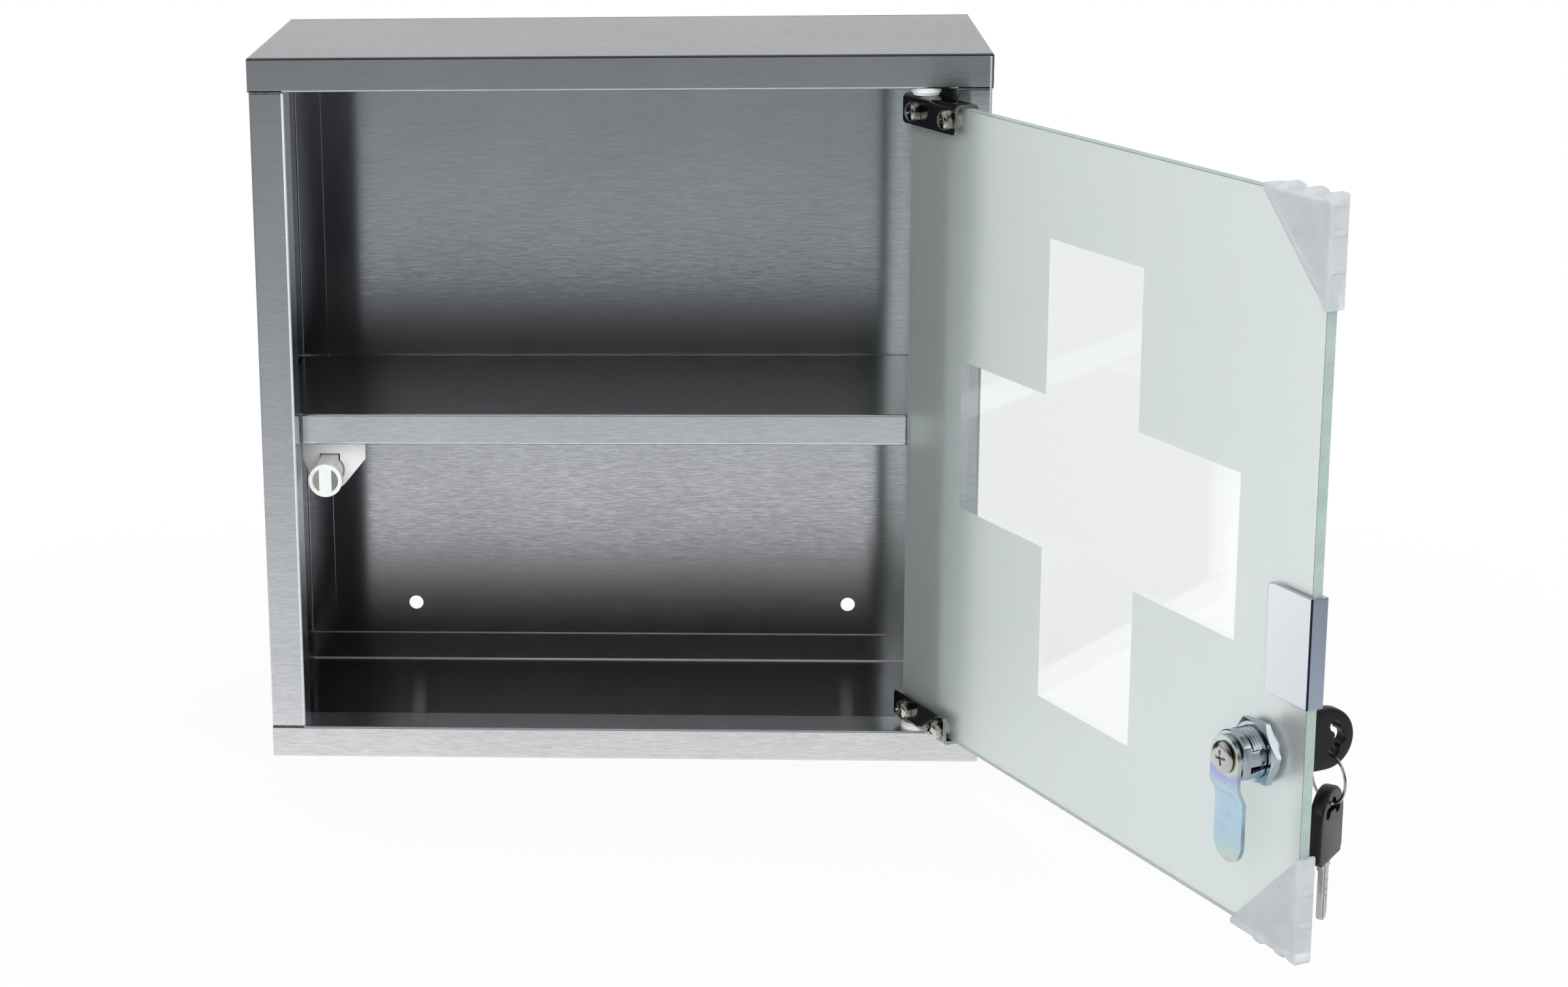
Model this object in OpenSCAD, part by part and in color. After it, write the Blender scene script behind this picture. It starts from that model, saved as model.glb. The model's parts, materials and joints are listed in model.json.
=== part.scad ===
// Wall cabinet for medicines: a folded steel case with one shelf and a frosted glass door.
// The door turns on two clamp hinges, and has a cam lock with two keys and a pull clip
// that meets a magnetic push latch under the shelf.
// Lengths are in millimetres. X runs to the right, Y towards the wall and Z up.
// The origin is the middle of the four wall holes, on the outer face of the back.

/* [Case] */
// Width of the case
case_w = 300; // [280:5:420]
// Height of the case
case_h = 300; // [280:5:420]
// Depth of the case, from the front face to the wall
case_d = 125; // [110:5:180]
// Thickness of the folded sheet
sheet_t = 0.5; // [0.4:0.1:0.8]
// Inner radius of each fold
fold_r = 0.5; // [0.3:0.1:1]
// Width of the front frame at the left and right
side_flange_w = 14.5; // [12:0.5:20]
// Height of the front frame along the top
cap_flange_h = 14.2; // [12:0.2:20]
// Height of the front frame along the bottom
pan_flange_h = 13.6; // [12:0.2:20]
// Depth of the lip that turns back round the opening
return_d = 17.5; // [14:0.5:20]
// Width of the flange that the back is welded to
rear_flange_w = 12; // [8:1:18]
// Diameter of the wall holes
wall_hole_d = 6.5; // [4:0.5:9]
// Distance of the wall holes from the left and right edges
wall_hole_inset_x = 50; // [25:5:90]
// Distance of the wall holes from the top and bottom edges
wall_hole_inset_z = 28; // [26:1:60]

/* [Shelf] */
// Height of the shelf's top face above the middle of the case
shelf_z = -3.5; // [-8:0.5:40]
// Distance of the shelf's front lip behind the front face
shelf_setback = 18.5; // [18:0.5:30]
// Height of the shelf's front lip
shelf_lip_h = 13.3; // [10:0.1:18]
// Depth of the hem under the front lip
shelf_hem_d = 6; // [3:0.5:8]
// Height of the flanges that fasten the shelf to the walls
shelf_flange_h = 12; // [8:1:16]
// Gap between the ends of the front lip and the opening
shelf_end_gap = 0.8; // [0.4:0.1:2]

/* [Door] */
// Angle that the door stands open
door_open = 117; // [0:1:120]
// Thickness of the glass
glass_t = 4; // [3:0.5:5]
// Gap between the glass and the sides of the opening
glass_gap = 3; // [2.8:0.1:5]
// Distance of the hinge axis from the right side of the opening
hinge_inset = 11.75; // [11.5:0.25:14]
// Distance of the hinge axis behind the front face
hinge_setback = 6.5; // [6.5:0.25:8]

/* [Hinges] */
// Gap between the upper clamp and the frame above it
upper_hinge_gap = 3.1; // [2.7:0.1:5]
// Gap between the lower clamp and the frame below it
lower_hinge_gap = 2.7; // [2.7:0.1:5]
// Length of a clamp along the glass
clamp_l = 40; // [36:1:60]
// Height of a clamp's plates
clamp_h = 12; // [11:0.5:18]
// Width of a clamp across the glass
clamp_w = 10.7; // [10.2:0.1:11.2]
// Thickness of a clamp's plates
clamp_t = 1.5; // [1:0.1:1.8]
// Corner radius of a clamp's plates
clamp_corner_r = 2; // [1:0.1:3]
// Inner radius of a clamp's folds
clamp_fold_r = 0.8; // [0.4:0.1:1]
// Thickness of the soft pad between clamp and glass
pad_t = 1; // [0.6:0.1:1.2]
// Diameter of the clamping screws
screw_d = 8; // [5:0.5:8]
// Distance between the two clamping screws
screw_pitch = 24.8; // [16:0.4:26]
// Length of screw that stands out of the clamp
screw_out = 4; // [1:0.5:4.5]
// Diameter of the hinge pin
pin_d = 5; // [3:0.5:6]
// Diameter of the bushing's body
bushing_d = 8; // [7:0.5:9]
// Diameter of the bushing's flange
bushing_flange_d = 12.2; // [10.4:0.2:14]
// Diameter of the bushing's collar
bushing_collar_d = 10.6; // [9.4:0.2:12]

/* [Pull clip and corner guards] */
// Height of the pull clip
clip_h = 39.5; // [20:0.5:60]
// Reach of the pull clip over the glass
clip_reach = 22.45; // [12:0.05:30]
// Thickness of the pull clip
clip_t = 1.5; // [1:0.1:2]
// Corner radius of the pull clip's plates
clip_corner_r = 3; // [1:0.5:5]
// Length of a corner guard along each edge of the glass
guard_leg = 34.25; // [28:0.25:45]
// Thickness of a corner guard's walls
guard_t = 1.75; // [1:0.05:1.8]
// Height of the ribs on a guard's end wall
guard_end_rib = 2; // [0.5:0.1:2]
// Height of the ribs on a guard's edge wall
guard_edge_rib = 0.9; // [0.3:0.1:0.9]
// Distance between a guard's ribs
guard_rib_pitch = 12.1; // [8:0.1:13]

/* [Lock] */
// Distance of the lock's axis from the free edge of the glass
lock_inset = 23.55; // [20:0.05:30]
// Distance of the lock's axis below the pull clip
lock_drop = 22.6; // [18:0.2:30]
// Diameter of the threaded lock body
lock_body_d = 18.5; // [17:0.5:19]
// Width of the lock body across its flats
lock_flat_w = 15.6; // [14:0.2:16.4]
// Reach of the lock body behind the glass
lock_reach = 13.2; // [11.5:0.1:16]
// Wall of the lock nut between its thread and each flat
nut_wall = 1.75; // [1.2:0.05:2.5]
// Thickness of the lock nut
nut_t = 3.85; // [2:0.05:5]
// Overhang of the lock's front collar round the body
bezel_over = 2; // [1.2:0.1:4]
// Thickness of the lock's front collar
bezel_t = 2.4; // [2:0.1:4]
// Diameter of the turning plug
plug_d = 12; // [9.5:0.5:12.5]
// Width of the cam
cam_w = 15.4; // [12:0.2:16]
// Reach of the cam from the lock's axis
cam_reach = 39; // [30:0.5:39]
// Thickness of the cam
cam_t = 1.6; // [1:0.1:2]
// Offset of the cam's blade towards the glass
cam_crank = 2.7; // [1:0.1:2.8]
// Diameter of the cam screw's head
cam_screw_d = 11.5; // [8:0.5:12]

/* [Keys] */
// Length of a key's head
key_head_l = 27; // [26:0.5:32]
// Width of a key's head
key_head_w = 22.7; // [20:0.1:24]
// Thickness of a key's head
key_head_t = 5; // [4:0.1:5]
// Length of a key's blade
key_blade_l = 23.6; // [18:0.1:23.6]
// Width of a key's blade
key_blade_w = 5.5; // [4:0.1:7]
// Thickness of a key's blade
key_blade_t = 2; // [1.4:0.1:2.4]
// Radius of the key ring, to the middle of its wire
ring_r = 9.3; // [9:0.1:12]
// Diameter of the key ring's wire
ring_wire_d = 1; // [0.8:0.1:1.2]

/* [Push latch] */
// Distance of the latch's axis inside the left edge of the opening
latch_inset = 10.8; // [9:0.1:14]
// Distance of the latch's axis below the shelf's top face
latch_drop = 26.6; // [22:0.1:30]
// Diameter of the latch's head
latch_head_d = 14.2; // [12:0.1:16]
// Diameter of the latch's stem
latch_stem_d = 11; // [8:0.2:11.4]
// Distance from the front of the latch's head to its plate
latch_out = 16.5; // [13:0.1:18]
// Travel of the latch's head when it is pushed
latch_travel = 6.5; // [3:0.1:8]

/* [Hidden] */

$fn = 64;
// Overrun of every cut past the face that it leaves
cut = 1;
// Clearance between parts that are fitted together and stay still
fixed_fit = 0.02;
// Clearance all round a turning or sliding fit
running_fit = 0.05;

// Outer radius of a fold in the case
bend = fold_r + sheet_t;
half_w = case_w / 2;
half_h = case_h / 2;
front_y = -case_d;
opening_x = half_w - side_flange_w;
opening_top = half_h - cap_flange_h;
opening_bottom = -half_h + pan_flange_h;
lip_back_y = front_y + return_d;
wall_outer_x = half_w - sheet_t;
wall_inner_x = half_w - 2 * sheet_t;

// Hinge axis, in the plan of the case
pivot_x = opening_x - hinge_inset;
pivot_y = front_y + hinge_setback;
// Play between the glass and the web of each clamp
clamp_play = 0.2;
glass_top = opening_top - upper_hinge_gap - clamp_t - clamp_play;
glass_bottom = opening_bottom + lower_hinge_gap + clamp_t + clamp_play;
// Edges of the glass, as distances from the hinge axis
free_edge = pivot_x + opening_x - glass_gap;
hinge_edge = opening_x - glass_gap - pivot_x;
// Faces of the glass, as distances behind the hinge axis with the door shut
glass_front = -clamp_w / 2 + clamp_t + pad_t;
glass_back = glass_front + glass_t;

// Clamps
clamp_over = 0.25;
clamp_start = hinge_edge + clamp_over;
clamp_web = clamp_play + clamp_t;
screw_start = 10.4;
screw_edge = 6.3;
screw_dome = 1.2;
pressure_pad_d = 7.2;
pressure_pad_t = 1;
pin_rise = 8;
bushing_flange_t = 2;
bushing_snap_t = 1;
bushing_snap_over = 0.4;
bushing_tail = 3.5;

// Pull clip, level with the shelf
clip_rise = 0.5;
clip_edge_r = 0.4;
clip_top = shelf_z + clip_rise;
clip_bottom = clip_top - clip_h;

// Guards
guard_end_rib_r = 2.6;
guard_edge_rib_r = 1.7;
guard_tail = 1.2;
guard_corner_r = 2.4;
guard_round_r = 2.2;
rib_count = 2;
// Shares of the leg from the corner to the first rib, on the end wall and on the edge wall
top_rib_shares = [0.327, 0.283];
bottom_rib_shares = [0.196, 0.321];

// Lock
bezel_d = lock_body_d + 2 * bezel_over;
nut_w = lock_body_d + 2 * nut_wall;
lock_x = -(free_edge - lock_inset);
lock_z = clip_bottom - lock_drop;
gasket_t = 0.75;
lock_hole_play = 0.25;
bezel_edge = 0.5;
plug_head_over = 1;
plug_head_t = 1.2;
plug_recess = 0.2;
plug_stub_w = 7.4;
stop_t = 0.6;
nut_turn = 5;
nut_washer_t = 0.8;
nut_washer_over = 0.8;
bezel_front = glass_front - gasket_t - bezel_t;
plug_front = bezel_front + plug_recess;
lock_end = glass_back + lock_reach;
stop_front = lock_end + running_fit;
cam_front = stop_front + stop_t;
cam_back = cam_front + cam_t;
cam_washer_t = 0.4;
cam_washer_d = 10.6;
cam_head_t = 1.5;
cam_screw_shank_d = 4;
cam_crank_start = 9.9;
cam_crank_l = 6;
key_standoff = 4;
key_neck_w = 8;
key_neck_l = 3.8;
key_tang_l = 10;
key_slot_play = 0.15;
key_end_play = 0.2;
key_shoulder = plug_front - key_standoff;
keyway_end = key_shoulder + key_blade_l + key_end_play;

// Eye of a key: two side lobes and a middle one nearer the end of the head
eye_side_r = 2.25;
eye_mid_r = 2.6;
eye_side_inset = 8.4;
eye_mid_inset = 6.1;
eye_side_a = key_head_l - eye_side_inset;
eye_mid_a = key_head_l - eye_mid_inset;
eye_side_b = 4.7;
spare_twist = 32;
ring_slack = 0.1;

// Latch
latch_gap = 0.25;
latch_x = -opening_x + latch_inset;
latch_z = shelf_z - latch_drop;
latch_head_y = pivot_y + glass_back + clip_t + latch_gap;
latch_plate_y = latch_head_y + latch_out;
latch_plate_t = 2.4;
latch_head_t = 4;
latch_plate_r = 8.6;
latch_hole_play = 0.7;
latch_left = 11.8;
latch_right = 15.3;
latch_shoulder_z = 5.1;
latch_tab_w = 7.2;
latch_tab_h = 1.1;
latch_wall = 1.4;
latch_stem_l = 30;
latch_bar_w = 5.3;
latch_pole_r = 5.4;
latch_pole_recess = 0.3;
latch_pole_t = 3;
latch_face_t = 0.8;
latch_magnet_h = 8.6;
latch_flange_t = 2.2;
latch_end_wall = 1.5;

// Drop of the ring's wire from its top, at a distance from its middle
function sag(x) = ring_r - sqrt(ring_r * ring_r - x * x);
// Point where a line from p touches a circle about the origin
function touch(p, r, side) =
    let (a = atan2(p[1], p[0]) + side * acos(r / norm(p))) [r * cos(a), r * sin(a)];

ring_plane = key_shoulder - eye_side_a;
ring_top = lock_z - eye_side_b - eye_side_r + ring_wire_d / 2 + ring_slack + sag(key_head_t / 2);
ring_z = ring_top - ring_r;
// Where the wire leaves the faces of the spare key's head
spare_reach = key_head_t / 2 / cos(spare_twist) + ring_wire_d / 2;
spare_side = spare_reach * sin(spare_twist) + ring_wire_d / 2 * cos(spare_twist);
spare_eye_top = eye_mid_a + sqrt(eye_mid_r * eye_mid_r - spare_side * spare_side);
spare_shoulder_z = ring_z - ring_r + sag(spare_reach) + ring_wire_d / 2 + ring_slack - spare_eye_top;

// Flat section that runs along X, drawn as depth and height
module along_x(x0, x1) {
    translate([x0, 0, 0]) rotate([90, 0, 90]) linear_extrude(x1 - x0) children();
}

// Flat section that runs along Y, drawn as width and height
module along_y(y0, y1) {
    translate([0, y1, 0]) rotate([90, 0, 0]) linear_extrude(y1 - y0) children();
}

// Strip folded the same way at every corner, from its outer sizes
module folded(sizes, t = sheet_t, r = fold_r, i = 0) {
    out = r + t;
    last = len(sizes) - 1;
    flat = sizes[i] - (i > 0 ? out : 0) - (i < last ? out : 0);
    square([flat, t]);
    if (i < last) {
        translate([flat, out]) intersection() {
            difference() {
                circle(out);
                circle(r);
            }
            translate([0, -out]) square(out);
        }
        translate([flat + out, out]) rotate(90) folded(sizes, t, r, i + 1);
    }
}

// Rectangle from corner a to corner b with round corners
module round_box(a, b, r) {
    size = b - a;
    translate(a) {
        translate([r, 0]) square([size[0] - 2 * r, size[1]]);
        translate([0, r]) square([size[0], size[1] - 2 * r]);
        for (x = [r, size[0] - r], y = [r, size[1] - r]) translate([x, y]) circle(r);
    }
}

// Box from corner a to corner b
module box(a, b) {
    translate(a) cube(b - a);
}

// Room that the side walls take in the cap and the pan
module wall_room() {
    for (side = [0, 1]) mirror([side, 0, 0])
        box([wall_inner_x, front_y + sheet_t, -half_h - cut], [wall_outer_x, cut, half_h - bend]);
}

// Bore for a hinge bushing, through a lip of the frame
module bushing_bore(z) {
    translate([pivot_x, pivot_y, z - cut])
        cylinder(d = bushing_d + 2 * fixed_fit, h = sheet_t + 2 * cut);
}

module top_cap() {
    color("silver") difference() {
        intersection() {
            union() {
                along_x(-half_w, half_w) translate([-sheet_t, opening_top]) rotate(90)
                    folded([cap_flange_h, case_d - sheet_t, cap_flange_h, return_d]);
                along_y(front_y, -sheet_t) translate([half_w, opening_top]) rotate(90)
                    folded([cap_flange_h, case_w, cap_flange_h]);
            }
            along_x(-half_w, half_w)
                round_box([front_y, opening_top], [-sheet_t, half_h], bend);
            along_y(front_y, -sheet_t)
                round_box([-half_w, opening_top - bend], [half_w, half_h], bend);
        }
        wall_room();
        bushing_bore(opening_top);
    }
}

module bottom_pan() {
    color("silver") difference() {
        union() {
            along_x(-wall_outer_x, wall_outer_x) translate([lip_back_y, opening_bottom]) rotate(180)
                folded([return_d, pan_flange_h, case_d - sheet_t, pan_flange_h]);
            along_y(front_y + bend, -sheet_t - bend) translate([-wall_inner_x, opening_bottom])
                rotate(-90) folded([pan_flange_h, 2 * wall_inner_x, pan_flange_h]);
        }
        wall_room();
        bushing_bore(opening_bottom - sheet_t);
    }
}

// Right wall with its front frame, its lip and the flange for the back
module side_wall() {
    translate([0, 0, opening_bottom]) linear_extrude(opening_top - opening_bottom)
        translate([opening_x, lip_back_y]) rotate(-90)
            folded([return_d, wall_outer_x - opening_x, case_d - sheet_t, rear_flange_w]);
    box([wall_inner_x, front_y + bend, -half_h], [wall_outer_x, -sheet_t - bend, half_h - bend]);
}

module right_side() {
    color("silver") side_wall();
}

module left_side() {
    color("silver") mirror([1, 0, 0]) side_wall();
}

module back_panel() {
    hole_x = half_w - wall_hole_inset_x;
    hole_z = half_h - wall_hole_inset_z;
    color("silver") difference() {
        box([-wall_outer_x, -sheet_t, -half_h], [wall_outer_x, 0, half_h]);
        for (x = [-hole_x, hole_x], z = [-hole_z, hole_z]) translate([x, cut, z])
            rotate([90, 0, 0]) cylinder(d = wall_hole_d, h = sheet_t + 2 * cut);
    }
}

module shelf() {
    lip_x = opening_x - shelf_end_gap;
    shelf_y = front_y + shelf_setback;
    back_y = -2 * sheet_t;
    color("silver") {
        along_x(-lip_x, lip_x) translate([back_y, shelf_z - shelf_flange_h]) rotate(90)
            folded([shelf_flange_h, back_y - shelf_y, shelf_lip_h, shelf_hem_d]);
        along_y(shelf_y + bend, back_y - bend)
            translate([wall_inner_x, shelf_z - shelf_flange_h]) rotate(90)
                folded([shelf_flange_h, 2 * wall_inner_x, shelf_flange_h]);
    }
}

// Stepped bushing under a lip, standing on the lip's face, with its gap to the clamp
module bushing(gap) {
    body_top = sheet_t + bushing_tail;
    translate([pivot_x, pivot_y, 0]) difference() {
        union() {
            translate([0, 0, -bushing_flange_t]) cylinder(d = bushing_flange_d, h = bushing_flange_t);
            translate([0, 0, running_fit - gap])
                cylinder(d = bushing_collar_d, h = gap - running_fit);
            cylinder(d = bushing_d, h = body_top);
            translate([0, 0, sheet_t + fixed_fit])
                cylinder(d = bushing_d + 2 * bushing_snap_over, h = bushing_snap_t);
        }
        translate([0, 0, -gap - cut])
            cylinder(d = pin_d + 2 * running_fit, h = gap + body_top + 2 * cut);
    }
}

module upper_bushing() {
    color("white") translate([0, 0, opening_top]) bushing(upper_hinge_gap);
}

module lower_bushing() {
    color("white") translate([0, 0, opening_bottom]) mirror([0, 0, 1]) bushing(lower_hinge_gap);
}

// Places a part of the shut door, drawn from the hinge axis, at the door's angle
module on_door() {
    translate([pivot_x, pivot_y, 0]) rotate(door_open) children();
}

// Places a part at the top or the bottom end of the glass
module at_top() {
    on_door() translate([0, 0, glass_top]) children();
}

module at_bottom() {
    on_door() translate([0, 0, glass_bottom]) mirror([0, 0, 1]) children();
}

// Places a part on the lock's axis, drawn with its height running into the case
module at_lock() {
    on_door() translate([lock_x, 0, lock_z]) rotate([-90, 0, 0]) children();
}

module glass_door() {
    color([0.75, 0.85, 0.84], 0.7) difference() {
        on_door() box([-free_edge, glass_front, glass_bottom], [hinge_edge, glass_back, glass_top]);
        at_lock() translate([0, 0, glass_front - cut])
            cylinder(d = lock_body_d + 2 * lock_hole_play, h = glass_t + 2 * cut);
    }
}

// Clamp with its web on the end of the glass
module hinge_clamp() {
    low = clamp_web - clamp_h;
    difference() {
        intersection() {
            along_x(clamp_start - clamp_l, clamp_start) translate([clamp_w / 2, low]) rotate(90)
                folded([clamp_h, clamp_w, clamp_h], clamp_t, clamp_fold_r);
            along_y(-clamp_w, clamp_w)
                round_box([clamp_start - clamp_l, low], [clamp_start, clamp_h], clamp_corner_r);
        }
        translate([0, 0, clamp_play - cut])
            cylinder(d = pin_d + 2 * fixed_fit, h = clamp_t + 2 * cut);
        screw_places() cylinder(d = screw_d + 2 * fixed_fit, h = clamp_w);
    }
}

// The two screw axes of a clamp, from the back of the glass inwards
module screw_places() {
    for (i = [0, 1])
        translate([clamp_start - screw_start - i * screw_pitch, glass_back, clamp_web - screw_edge])
            rotate([-90, 0, 0]) children();
}

module upper_hinge_clamp() {
    color("gray") at_top() hinge_clamp();
}

module lower_hinge_clamp() {
    color("gray") at_bottom() hinge_clamp();
}

module hinge_pin() {
    translate([0, 0, clamp_play]) cylinder(d = pin_d, h = pin_rise);
}

module upper_hinge_pin() {
    color("dimgray") at_top() hinge_pin();
}

module lower_hinge_pin() {
    color("dimgray") at_bottom() hinge_pin();
}

module clamp_pad() {
    box([clamp_start - clamp_l, glass_front - pad_t, clamp_web - clamp_h],
        [clamp_start, glass_front, clamp_play - clamp_fold_r]);
}

module upper_clamp_pad() {
    color("lightgray") at_top() clamp_pad();
}

module lower_clamp_pad() {
    color("lightgray") at_bottom() clamp_pad();
}

// Headless screw with a domed end
module clamp_screw() {
    screw_l = clamp_w / 2 + screw_out - glass_back - pressure_pad_t;
    translate([0, 0, pressure_pad_t]) {
        cylinder(d = screw_d, h = screw_l - screw_dome);
        translate([0, 0, screw_l - screw_dome]) scale([1, 1, 2 * screw_dome / screw_d])
            intersection() {
                sphere(d = screw_d);
                cylinder(d = screw_d, h = screw_d);
            }
    }
}

module clamp_screws() {
    color("gainsboro") {
        at_top() screw_places() clamp_screw();
        at_bottom() screw_places() clamp_screw();
    }
}

module pressure_pads() {
    color("dimgray") {
        at_top() screw_places() cylinder(d = pressure_pad_d, h = pressure_pad_t);
        at_bottom() screw_places() cylinder(d = pressure_pad_d, h = pressure_pad_t);
    }
}

// Clip folded round the free edge of the glass
module pull_clip() {
    color("lightsteelblue") on_door() difference() {
        intersection() {
            translate([0, 0, clip_bottom]) linear_extrude(clip_h)
                round_box([-free_edge - clip_t, glass_front - clip_t],
                    [clip_reach - free_edge, glass_back + clip_t], clip_edge_r);
            along_y(-clamp_w, clamp_w)
                round_box([-free_edge - clip_h, clip_bottom],
                    [clip_reach - free_edge, clip_top], clip_corner_r);
        }
        box([-free_edge, glass_front, clip_bottom - cut],
            [clip_reach, glass_back, clip_top + cut]);
    }
}

// Rib across a guard's wall
module guard_rib(x, z, r) {
    translate([x, glass_front - guard_t, z]) rotate([-90, 0, 0])
        cylinder(r = r, h = glass_t + 2 * guard_t);
}

// Walls and ribs of a guard before its edges are rounded
module guard_blank(rib_shares) {
    end_z = guard_t + guard_end_rib - guard_end_rib_r;
    edge_x = guard_edge_rib_r - guard_edge_rib - guard_t;
    along_y(glass_front - guard_t, glass_back + guard_t)
        polygon([[-guard_t + guard_corner_r, guard_t], [guard_leg, guard_t],
            [guard_leg, 0], [0, -guard_leg], [0, -guard_leg - guard_tail],
            [-guard_t, -guard_leg - guard_tail], [-guard_t, guard_t - guard_corner_r]]);
    for (i = [1:rib_count]) {
        along = (i - 1) * guard_rib_pitch;
        guard_rib(rib_shares[0] * guard_leg + along, end_z, guard_end_rib_r);
        guard_rib(edge_x, -rib_shares[1] * guard_leg - along, guard_edge_rib_r);
    }
    guard_rib(guard_end_rib_r - guard_edge_rib - guard_t, end_z, guard_end_rib_r);
}

// Pocket on a free corner of the glass, drawn from that corner with its end upwards
module corner_guard(rib_shares) {
    faces = [glass_front - guard_t, glass_back + guard_t];
    outer_x = -guard_t - guard_edge_rib;
    outer_z = guard_t + guard_end_rib;
    low_z = -guard_leg - guard_tail;
    difference() {
        intersection() {
            guard_blank(rib_shares);
            translate([0, 0, low_z]) linear_extrude(outer_z - low_z)
                round_box([outer_x, faces[0]], [guard_leg + guard_round_r, faces[1]], guard_round_r);
            along_x(outer_x, guard_leg)
                round_box([faces[0], low_z - guard_round_r], [faces[1], outer_z], guard_round_r);
        }
        box([0, glass_front, low_z - cut], [guard_leg + cut, glass_back, 0]);
    }
}

module top_corner_guard() {
    color("aliceblue", 0.8) at_top() translate([-free_edge, 0, 0])
        corner_guard(top_rib_shares);
}

module bottom_corner_guard() {
    color("aliceblue", 0.8) at_bottom() translate([-free_edge, 0, 0])
        corner_guard(bottom_rib_shares);
}

module lock_body() {
    color("lightsteelblue") at_lock() difference() {
        union() {
            translate([0, 0, bezel_front]) {
                cylinder(d1 = bezel_d - 2 * bezel_edge, d2 = bezel_d, h = bezel_edge);
                translate([0, 0, bezel_edge]) cylinder(d = bezel_d, h = bezel_t - bezel_edge);
            }
            intersection() {
                translate([0, 0, bezel_front]) cylinder(d = lock_body_d, h = lock_end - bezel_front);
                box([-lock_flat_w / 2, -lock_body_d, bezel_front], [lock_flat_w / 2, lock_body_d, lock_end]);
            }
        }
        translate([0, 0, bezel_front - cut])
            cylinder(d = plug_d + 2 * running_fit, h = lock_end - bezel_front + 2 * cut);
        translate([0, 0, bezel_front - cut])
            cylinder(d = plug_d + 2 * plug_head_over + 2 * running_fit,
                h = plug_recess + plug_head_t + running_fit + cut);
    }
}

module lock_gasket() {
    color("black") at_lock() translate([0, 0, glass_front - gasket_t]) difference() {
        cylinder(d = bezel_d - 2 * bezel_edge, h = gasket_t);
        translate([0, 0, -cut]) cylinder(d = lock_body_d + 2 * lock_hole_play, h = gasket_t + 2 * cut);
    }
}

// Hexagon nut whose corners are cut to a cone, with a round seat on the glass
module lock_nut() {
    corner_r = nut_w / 2 / cos(30);
    seat_r = nut_w / 2;
    color("lightsteelblue") at_lock() translate([0, 0, glass_back]) difference() {
        union() {
            cylinder(r = seat_r, h = nut_washer_t);
            intersection() {
                translate([0, 0, nut_washer_t]) rotate(nut_turn)
                    cylinder(r = corner_r, h = nut_t - nut_washer_t, $fn = 6);
                cylinder(r1 = seat_r + nut_t, r2 = seat_r - nut_washer_over / 2, h = nut_t);
            }
        }
        translate([0, 0, -cut]) cylinder(d = lock_body_d + 2 * fixed_fit, h = nut_t + 2 * cut);
    }
}

// Plug with its key slot, its screw hole and the square stub that turns the cam
module lock_plug() {
    stub = plug_stub_w / 2;
    color("silver") at_lock() difference() {
        union() {
            translate([0, 0, plug_front]) {
                cylinder(d = plug_d, h = lock_end - plug_front);
                cylinder(d = plug_d + 2 * plug_head_over, h = plug_head_t);
            }
            box([-stub, -stub, plug_front], [stub, stub, cam_back - running_fit]);
        }
        box([-key_blade_t / 2 - key_slot_play, -key_blade_w / 2 - key_slot_play, plug_front - cut],
            [key_blade_t / 2 + key_slot_play, key_blade_w / 2 + key_slot_play, keyway_end]);
        translate([0, 0, keyway_end - cut])
            cylinder(d = cam_screw_shank_d + 2 * fixed_fit, h = cam_back);
    }
}

module stop_washer() {
    stub = plug_stub_w / 2 + fixed_fit;
    color("gray") at_lock() translate([0, 0, stop_front]) difference() {
        cylinder(d = cam_w, h = stop_t);
        box([-stub, -stub, -cut], [stub, stub, stop_t + cut]);
    }
}

// Cranked strip with round ends, and a square hole on the plug's stub
module cam() {
    stub = plug_stub_w / 2 + fixed_fit;
    end_r = cam_w / 2;
    tip = cam_reach - end_r;
    color("lightblue") at_lock() difference() {
        intersection() {
            translate([end_r, 0, 0]) rotate([0, -90, 0]) linear_extrude(cam_w)
                polygon([[cam_front, -end_r], [cam_back, -end_r], [cam_back, cam_crank_start],
                    [cam_back - cam_crank, cam_crank_start + cam_crank_l],
                    [cam_back - cam_crank, cam_reach], [cam_front - cam_crank, cam_reach],
                    [cam_front - cam_crank, cam_crank_start + cam_crank_l],
                    [cam_front, cam_crank_start]]);
            linear_extrude(cam_back + cut) {
                circle(end_r);
                translate([-end_r, 0]) square([cam_w, tip]);
                translate([0, tip]) circle(end_r);
            }
        }
        box([-stub, -stub, cam_front - cut], [stub, stub, cam_back + cut]);
    }
}

module cam_washer() {
    color("dimgray") at_lock() translate([0, 0, cam_back]) difference() {
        cylinder(d = cam_washer_d, h = cam_washer_t);
        translate([0, 0, -cut])
            cylinder(d = cam_screw_shank_d + 2 * fixed_fit, h = cam_washer_t + 2 * cut);
    }
}

// Pan head on a short shank that ends clear of the key
module cam_screw() {
    seat = cam_back + cam_washer_t;
    shank_start = keyway_end + key_end_play;
    color("gainsboro") at_lock() {
        translate([0, 0, shank_start]) cylinder(d = cam_screw_shank_d, h = seat - shank_start);
        translate([0, 0, seat]) intersection() {
            cylinder(d = cam_screw_d, h = cam_head_t);
            scale([1, 1, 2 * cam_head_t / cam_screw_d]) sphere(d = cam_screw_d);
        }
    }
}

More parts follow.
